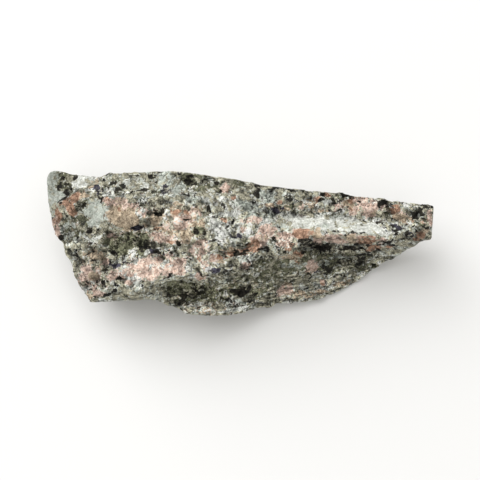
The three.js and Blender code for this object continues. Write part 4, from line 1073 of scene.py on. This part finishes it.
@dataclass
class CoreSample:
    """The stone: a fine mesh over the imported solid, roughened and graded crystal by crystal.

    Args:
        node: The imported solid.
        finish: The stone's material.
    """

    node: bpy.types.Object
    finish: Granodiorite
    name: str = "granodiorite_stone"
    mesh_size: float = 0.68  # mm between the fine mesh's points, half that on the broken face
    smoothing: int = 2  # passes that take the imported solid's own facets away
    crystal: float = 3.2  # mm across the crystals that the stone broke around
    crystal_relief: float = 0.75  # mm, how far such crystals lean and stand out
    chip: float = 1.5  # mm across the chips between them
    chip_relief: float = 0.4
    splinter: float = 0.75  # mm across the splinters on those
    splinter_relief: float = 0.2
    pit: float = 2.6  # mm between the pits that crystals fell from
    pit_depth: float = 0.9
    seed: float = 7.0  # where in the noise the relief begins
    stray_seed: int = 4  # what the straying of the patches' borders is drawn from
    strays: tuple[tuple[float, float], ...] = ((3.2, 1.0), (1.2, 0.4))  # mm across and mm far
    ledge_streaks: float = 0.25  # how strongly the bright ledge is streaked, beside the slope
    # how pure each mineral's patches are, beside what CRYSTALS says
    purity: dict[Mineral, float] = field(
        default_factory=lambda: {
            Mineral.BIOTITE: 0.8,
            Mineral.VIOLET: 0.95,
            Mineral.CHLORITE: 0.8,
            Mineral.RUST: 1.2,
            Mineral.TAN: 1.15,
            Mineral.PINK: 1.2,
            Mineral.PALE: 1.0,
            Mineral.QUARTZ: 0.95,
        }
    )
    # what fills the broken face between the patches, besides the matrix
    matrix: dict[Mineral, float] = field(
        default_factory=lambda: {Mineral.QUARTZ: 0.22, Mineral.PALE: 0.18, Mineral.BIOTITE: 0.05}
    )
    # what fills the sides and the drilled back
    background: dict[Mineral, float] = field(
        default_factory=lambda: {
            Mineral.QUARTZ: 0.3,
            Mineral.PALE: 0.25,
            Mineral.PINK: 0.16,
            Mineral.CHLORITE: 0.12,
            Mineral.BIOTITE: 0.16,
        }
    )

    def build(self) -> bpy.types.Object:
        """Makes the stone.

        Returns:
            The finished piece.
        """
        frame = FaceFrame.of(points_of(self.node.data))
        blank = self._fine_mesh(frame)
        self._smooth_spots(blank, frame)
        rough = self._crystal_relief(blank)
        self._grade(rough, frame)
        rough.data.shade_smooth()
        LOG.info("%s: %d faces", self.name, len(rough.data.polygons))
        return rough

    def _fine_mesh(self, frame: FaceFrame) -> bpy.types.Object:
        """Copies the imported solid, joins its triangles and covers it with small even faces.

        Args:
            frame: The face's directions.

        Returns:
            The copy, with the broken face's own faces split in four.
        """
        mesh = self.node.data.copy()
        mesh.materials.clear()
        stone = bpy.data.objects.new(self.name, mesh)
        bpy.context.scene.collection.objects.link(stone)
        weld = stone.modifiers.new("join", "WELD")
        weld.merge_threshold = 0.001 * MM
        even = stone.modifiers.new("even", "REMESH")
        even.mode = "VOXEL"
        even.voxel_size = self.mesh_size * MM
        soft = stone.modifiers.new("soft", "SMOOTH")
        soft.factor = 0.5
        soft.iterations = self.smoothing
        settle(stone)
        out = Vector((0.0, -math.sin(frame.roll), math.cos(frame.roll)))
        work = bmesh.new()
        work.from_mesh(stone.data)
        edges = {edge for face in work.faces if face.normal.dot(out) > SEEN for edge in face.edges}
        bmesh.ops.subdivide_edges(
            work, edges=sorted(edges, key=lambda edge: edge.index), cuts=1, use_grid_fill=True
        )
        work.to_mesh(stone.data)
        work.free()
        return stone

    def _smooth_spots(self, stone: bpy.types.Object, frame: FaceFrame) -> None:
        """Writes how far each point is drilled, and how rough it is.

        Args:
            stone: The fine mesh.
            frame: The face's directions.
        """
        points = points_of(stone.data)
        places = frame.places(points)
        radius = np.hypot(places[:, 1], places[:, 2])
        wall = rise(radius - frame.radius, *DRILLED_WALL)
        end = rise(places[:, 0] - SQUARE_END, *SAWN_END)
        flat = rise(-points[:, 2], *WORN_FLAT)
        drilled = np.maximum.reduce([wall, end, flat])
        facing = rise(self._facing(stone, frame), *FACE_BREAKS)
        rough = (1 - drilled) * (SIDE_ROUGHNESS + (1 - SIDE_ROUGHNESS) * facing)
        light = np.ones(len(points))
        for *shape, calm, lighter in SPOTS:
            worn = Patch(*shape).weight(places[:, 0], places[:, 1])
            rough *= 1 - calm * worn
            # the spots' lightening and darkening: partly the stone's tone, partly painted light and
            # shade
            light += lighter * worn * (1 - drilled)
        for name, column in (
            ("drilled_only", drilled), ("rough_only", rough), ("light_only", light)
        ):
            layer = stone.data.attributes.new(name, "FLOAT", "POINT")
            layer.data.foreach_set("value", column.astype(np.float32))

    def _facing(self, stone: bpy.types.Object, frame: FaceFrame) -> np.ndarray:
        """How squarely each point faces out of the broken face.

        Args:
            stone: The stone's mesh.
            frame: The face's directions.

        Returns:
            For each point, from -1, away from the viewer of the face, to 1.
        """
        normals = np.zeros(len(stone.data.vertices) * 3, np.float32)
        stone.data.vertex_normals.foreach_get("vector", normals)
        return frame.turned(normals.reshape(-1, 3).astype(float))[:, 2]

    def _crystal_relief(self, stone: bpy.types.Object) -> bpy.types.Object:
        """Breaks the surface into leaning crystal flats by geometry nodes.

        Args:
            stone: The fine mesh, with its rough places marked.

        Returns:
            The same piece as a plain mesh, with its material.
        """
        tree = CrystalRelief(self.finish.build()).build()
        modifier = stone.modifiers.new("crystals", "NODES")
        modifier.node_group = tree
        sizes = {
            "Crystal": self.crystal,
            "Crystal relief": self.crystal_relief,
            "Chip": self.chip,
            "Chip relief": self.chip_relief,
            "Splinter": self.splinter,
            "Splinter relief": self.splinter_relief,
            "Pit": self.pit,
            "Pit depth": self.pit_depth,
            "Seed": self.seed,
        }
        for item in tree.interface.items_tree:
            if item.item_type == "SOCKET" and item.name in sizes:
                modifier[item.identifier] = sizes[item.name]
        return settle(stone)

    def _grade(self, stone: bpy.types.Object, frame: FaceFrame) -> None:
        """Writes the minerals' shares at each point, each added to those before it, and the marks.

        Args:
            stone: The finished mesh.
            frame: The face's directions.
        """
        mesh = stone.data
        points = points_of(mesh)
        noise.seed_set(self.stray_seed)
        strays = sum(
            amount * np.array([noise.noise_vector(Vector(point) / size) for point in points])
            for size, amount in self.strays
        )
        places = frame.places(points)
        along, across = (places + strays)[:, :2].T
        shares = np.zeros((len(places), len(Mineral)))
        shares[:, Mineral.MATRIX.value] = 1.0
        for mineral, share in self.matrix.items():
            cover(shares, mineral, np.full(len(places), share))
        for mineral, *shape, share in CRYSTALS:
            weight = self.purity[mineral] * (share * Patch(*shape).weight(along, across))
            cover(shares, mineral, np.minimum(weight, PUREST))
        hidden = np.zeros_like(shares)
        hidden[:, Mineral.MATRIX.value] = 1.0
        for mineral, share in self.background.items():
            cover(hidden, mineral, np.full(len(places), share))
        seen = rise(self._facing(stone, frame), *FACE_SHOWS)
        shares = shares * seen[:, None] + hidden * (1 - seen[:, None])
        marks = dict(zip((mineral.name for mineral in Mineral), np.cumsum(shares, axis=1).T))
        for name in ("drilled", "rough", "relief", "light"):
            values = np.zeros(len(places), np.float32)
            mesh.attributes[f"{name}_only"].data.foreach_get("value", values)
            marks[name] = values
            mesh.attributes.remove(mesh.attributes[f"{name}_only"])
        below = np.interp(along, *zip(*SLOPE_TOP)) - across
        ledge = self.ledge_streaks * Patch(*LEDGE).weight(along, across)
        marks["slope"] = np.maximum(rise(below, *SLOPE_EDGE), ledge) * seen
        for group in MARKS:
            layer = mesh.attributes.new("_".join(group), "FLOAT_VECTOR", "POINT")
            columns = np.zeros((len(places), 3), np.float32)
            for column, name in enumerate(group):
                columns[:, column] = marks[name]
            layer.data.foreach_set("vector", columns.ravel())


PUREST = 0.95  # how much of its spot a crystal fills at most
SEEN = 0.0  # how squarely a small face must face out of the broken face to be split
SIDE_ROUGHNESS = 0.4  # how rough the sides are, beside the broken face
# For each change over the surface: where it starts, and how far on it is complete
DRILLED_WALL = (-0.5, 0.35)  # mm out from the drilled wall, where the drilled look begins
SAWN_END = (-0.45, 0.3)  # mm out from the square end, where the same look begins
WORN_FLAT = (-0.5, 0.3)  # mm down to the ground, where the same look begins
FACE_BREAKS = (0.1, 0.5)  # how squarely a place faces out of the break, where it gets rougher
FACE_SHOWS = (-0.1, 0.3)  # the same, where the face's own crystals begin
SLOPE_EDGE = (0.0, 2.0)  # mm below the lower slope's top, where it is streaked


def rise(values: np.ndarray, start: float, width: float) -> np.ndarray:
    """Goes from 0 at start to 1 over width, and stays between them outside."""
    return np.clip((values - start) / width, 0, 1)


def cover(shares: np.ndarray, mineral: Mineral, weight: np.ndarray) -> None:
    """Lets a mineral take its weight from what is there already.

    Args:
        shares: The shares at each point, changed in place.
        mineral: The mineral that comes on top.
        weight: Its share at each point.
    """
    shares *= (1 - weight)[:, None]
    shares[:, mineral.value] += weight


def points_of(mesh: bpy.types.Mesh) -> np.ndarray:
    """A mesh's points, in mm.

    Args:
        mesh: The mesh.

    Returns:
        One row per point.
    """
    flat = np.zeros(len(mesh.vertices) * 3, np.float32)
    mesh.vertices.foreach_get("co", flat)
    return flat.reshape(-1, 3).astype(float) / MM


def settle(piece: bpy.types.Object) -> bpy.types.Object:
    """Turns a piece with modifiers into a plain mesh.

    Args:
        piece: The piece.

    Returns:
        The same piece, with its modifiers applied and removed.
    """
    bpy.context.view_layer.update()
    graph = bpy.context.evaluated_depsgraph_get()
    mesh = bpy.data.meshes.new_from_object(piece.evaluated_get(graph), depsgraph=graph)
    piece.modifiers.clear()
    piece.data = mesh
    return piece


@dataclass(frozen=True)
class CrystalRelief:
    """Geometry nodes that lean, lift and pit the surface crystal by crystal, where it is rough.

    Args:
        material: What the surface is made of.
    """

    material: bpy.types.Material
    waves: float = 0.6  # bends of the crystals' borders in a mm
    bend: float = 1.4  # mm that they wander
    highest: float = 0.35  # mm that a crystal stands out at most
    lean: float = 2.4  # how steeply crystals lean, for their relief
    lift: float = 0.7  # how far they stand out or in, for their relief
    sound: float = 0.45  # the share of crystals with no pit
    pit_floor: float = 0.12  # how wide a pit's floor is, for the distance between pits
    pit_rim: float = 0.42  # how wide its rim is, for the same

    def build(self) -> bpy.types.NodeTree:
        """Makes the tree.

        Returns:
            A geometry node tree with its sizes as named inputs.
        """
        tree = bpy.data.node_groups.new("crystal_relief", "GeometryNodeTree")
        tree.interface.new_socket("Geometry", in_out="INPUT", socket_type="NodeSocketGeometry")
        for size in ("Crystal", "Chip", "Splinter"):
            tree.interface.new_socket(size, in_out="INPUT", socket_type="NodeSocketFloat")
            tree.interface.new_socket(
                f"{size} relief", in_out="INPUT", socket_type="NodeSocketFloat"
            )
        for size in ("Pit", "Pit depth", "Seed"):
            tree.interface.new_socket(size, in_out="INPUT", socket_type="NodeSocketFloat")
        tree.interface.new_socket("Geometry", in_out="OUTPUT", socket_type="NodeSocketGeometry")
        given = add_node(tree, "NodeGroupInput")
        position = add_node(tree, "GeometryNodeInputPosition")
        spot = add_node(
            tree, "ShaderNodeVectorMath", {0: position, "Scale": 1 / MM}, operation="SCALE"
        )
        shifted = add_node(
            tree, "ShaderNodeVectorMath", {0: spot, 1: given.outputs["Seed"]}, operation="ADD"
        )
        waves = add_node(
            tree, "ShaderNodeTexNoise", {"Vector": shifted, "Scale": self.waves, "Detail": 2.0}
        )
        wander = add_node(
            tree,
            "ShaderNodeVectorMath",
            {0: waves.outputs["Color"], 1: (self.bend,) * 3, 2: shifted},
            operation="MULTIPLY_ADD",
        )
        height = self._pits(tree, wander, given.outputs["Pit"], given.outputs["Pit depth"])
        for size in ("Crystal", "Chip", "Splinter"):
            flats = self._flats(tree, wander, given.outputs[size], given.outputs[f"{size} relief"])
            height = add_node(tree, "ShaderNodeMath", {0: height, 1: flats}, operation="ADD")
        eased = add_node(tree, "GeometryNodeBlurAttribute", {"Value": height, "Iterations": 1})
        rough = add_node(
            tree, "GeometryNodeInputNamedAttribute", {"Name": "rough_only"}, data_type="FLOAT"
        )
        kept = add_node(tree, "ShaderNodeMath", {0: eased, 1: rough}, operation="MULTIPLY")
        capped = add_node(tree, "ShaderNodeMath", {0: kept, 1: self.highest}, operation="MINIMUM")
        metres = add_node(tree, "ShaderNodeMath", {0: capped, 1: MM}, operation="MULTIPLY")
        normal = add_node(tree, "GeometryNodeInputNormal")
        offset = add_node(
            tree, "ShaderNodeVectorMath", {0: normal, "Scale": metres}, operation="SCALE"
        )
        noted = add_node(
            tree,
            "GeometryNodeStoreNamedAttribute",
            {"Geometry": given.outputs["Geometry"], "Name": "relief_only", "Value": capped},
            data_type="FLOAT",
            domain="POINT",
        )
        moved = add_node(tree, "GeometryNodeSetPosition", {"Geometry": noted, "Offset": offset})
        real = add_node(tree, "GeometryNodeRealizeInstances", {"Geometry": moved})
        dressed = add_node(
            tree, "GeometryNodeSetMaterial", {"Geometry": real, "Material": self.material}
        )
        add_node(tree, "NodeGroupOutput", {"Geometry": dressed})
        return tree

    def _pits(
        self,
        tree: bpy.types.NodeTree,
        spot: bpy.types.Node,
        size: bpy.types.NodeSocket,
        depth: bpy.types.NodeSocket,
    ) -> bpy.types.Node:
        """Round-bottomed pits at random places.

        Args:
            tree: The geometry nodes.
            spot: The place on the stone, in mm.
            size: The distance between pits, in mm.
            depth: The deepest pit's depth, in mm.

        Returns:
            The height, in mm, below 0 in a pit.
        """
        scale = add_node(tree, "ShaderNodeMath", {0: 1.0, 1: size}, operation="DIVIDE")
        cells = add_node(
            tree, "ShaderNodeTexVoronoi", {"Vector": spot, "Scale": scale}, feature="F1"
        )
        random = add_node(tree, "ShaderNodeSeparateXYZ", {0: cells.outputs["Color"]})
        sunk = add_node(
            tree,
            "ShaderNodeMapRange",
            {
                "Value": random.outputs["X"],
                "From Min": self.sound,
                "From Max": 1.0,
                "To Max": depth,
            },
        )
        near = add_node(
            tree,
            "ShaderNodeMapRange",
            {
                "Value": cells.outputs["Distance"],
                **between("From", (self.pit_floor, self.pit_rim)),
                **between("To", (-1.0, 0.0)),
            },
        )
        return add_node(tree, "ShaderNodeMath", {0: near, 1: sunk}, operation="MULTIPLY")

    def _flats(
        self,
        tree: bpy.types.NodeTree,
        spot: bpy.types.Node,
        size: bpy.types.NodeSocket,
        relief: bpy.types.NodeSocket,
    ) -> bpy.types.Node:
        """Flats of one size, each with its own lean and lift.

        Args:
            tree: The geometry nodes.
            spot: The place on the stone, in mm.
            size: The flats' size, in mm.
            relief: How much they stand out, in mm.

        Returns:
            The height, in mm.
        """
        scale = add_node(tree, "ShaderNodeMath", {0: 1.0, 1: size}, operation="DIVIDE")
        cells = add_node(
            tree, "ShaderNodeTexVoronoi", {"Vector": spot, "Scale": scale}, feature="F1"
        )
        away = add_node(
            tree,
            "ShaderNodeVectorMath",
            {0: spot, 1: cells.outputs["Position"]},
            operation="SUBTRACT",
        )
        inward = add_node(
            tree, "ShaderNodeVectorMath", {0: away, "Scale": scale}, operation="SCALE"
        )
        lean = add_node(
            tree, "ShaderNodeVectorMath", {0: cells.outputs["Color"], 1: HALF}, operation="SUBTRACT"
        )
        tilt = add_node(tree, "ShaderNodeVectorMath", {0: inward, 1: lean}, operation="DOT_PRODUCT")
        lift = add_node(tree, "ShaderNodeSeparateXYZ", {0: lean})
        steep = add_node(
            tree, "ShaderNodeMath", {0: tilt.outputs["Value"], 1: self.lean}, operation="MULTIPLY"
        )
        raised = add_node(
            tree,
            "ShaderNodeMath",
            {0: lift.outputs["X"], 1: self.lift, 2: steep},
            operation="MULTIPLY_ADD",
        )
        return add_node(tree, "ShaderNodeMath", {0: raised, 1: relief}, operation="MULTIPLY")


@dataclass(frozen=True)
class Studio:
    """A white table, two soft lights from the upper left, and the camera nearly overhead."""

    azimuth: float = math.radians(6.38)
    elevation: float = math.radians(75)
    distance: float = 0.442  # m from the camera to its target
    lens: float = 100.0  # mm
    target: tuple[float, float, float] = (0.00207, 0.00215, 0.0230)  # m
    table_colour: str = "dfdfdf"
    table_size: float = 4.0  # m
    table_roughness: float = 0.9  # matt paper
    table_gloss: float = 0.1
    key_size: float = 2.6  # m
    key_place: tuple[float, float, float] = (-1.25, 1.0, 1.55)  # m
    key_power: float = 47.0  # W
    low_size: float = 1.2  # m
    low_place: tuple[float, float, float] = (-1.3, 1.05, 0.55)  # m
    low_power: float = 12.0  # W
    sky: float = 0.82
    sky_colour: str = "fffefa"

    def build(self) -> None:
        """Makes the table, the lights and the camera."""
        self._table()
        self._camera()
        self._light("key", self.key_place, self.key_size, self.key_power)
        self._light("low", self.low_place, self.low_size, self.low_power)
        world = bpy.data.worlds.new("sky")
        world.use_nodes = True
        surroundings = world.node_tree.nodes["Background"]
        surroundings.inputs["Color"].default_value = linear(self.sky_colour)
        surroundings.inputs["Strength"].default_value = self.sky
        bpy.context.scene.world = world
        bpy.context.scene.view_settings.view_transform = "Standard"
        LOG.info("studio: table, camera, two soft lights and sky")

    def _table(self) -> None:
        """A wide white table top under the stone."""
        half = self.table_size / 2
        mesh = bpy.data.meshes.new("table_top")
        corners = [(-half, -half, 0.0), (half, -half, 0.0), (half, half, 0.0), (-half, half, 0.0)]
        mesh.from_pydata(corners, [], [(0, 1, 2, 3)])
        table = bpy.data.objects.new("table_top", mesh)
        bpy.context.scene.collection.objects.link(table)
        material = bpy.data.materials.new("white_table")
        material.use_nodes = True
        shader = material.node_tree.nodes["Principled BSDF"]
        shader.inputs["Base Color"].default_value = linear(self.table_colour)
        shader.inputs["Roughness"].default_value = self.table_roughness
        shader.inputs["Specular IOR Level"].default_value = self.table_gloss
        mesh.materials.append(material)

    def _camera(self) -> None:
        """The camera, level with the picture's long side."""
        camera = bpy.data.cameras.new("camera")
        camera.lens = self.lens
        camera.clip_start = 0.01
        holder = bpy.data.objects.new("camera", camera)
        a, e = self.azimuth, self.elevation
        back = Vector((math.sin(a) * math.cos(e), -math.cos(a) * math.cos(e), math.sin(e)))
        holder.location = Vector(self.target) + back * self.distance
        holder.rotation_euler = back.to_track_quat("Z", "Y").to_euler()
        bpy.context.scene.collection.objects.link(holder)
        bpy.context.scene.camera = holder

    def _light(
        self, name: str, place: tuple[float, float, float], size: float, power: float
    ) -> None:
        """Adds a square soft light that points at the stone.

        Args:
            name: The light's name.
            place: Where it hangs, in metres.
            size: The length of its side, in metres.
            power: Its power, in watts.
        """
        lamp = bpy.data.lights.new(name, "AREA")
        lamp.size = size
        lamp.energy = power
        holder = bpy.data.objects.new(name, lamp)
        holder.location = place
        holder.rotation_euler = Vector(place).to_track_quat("Z", "Y").to_euler()
        bpy.context.scene.collection.objects.link(holder)


def main() -> None:
    """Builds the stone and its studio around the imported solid."""
    logging.basicConfig(level=logging.INFO, format="%(name)s: %(message)s")
    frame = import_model()
    stone = CoreSample(frame["nodes"][CAD_NODE], Granodiorite()).build()
    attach(stone, BODY)
    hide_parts(CAD_NODE)
    Studio().build()


if __name__ == "__main__":
    main()
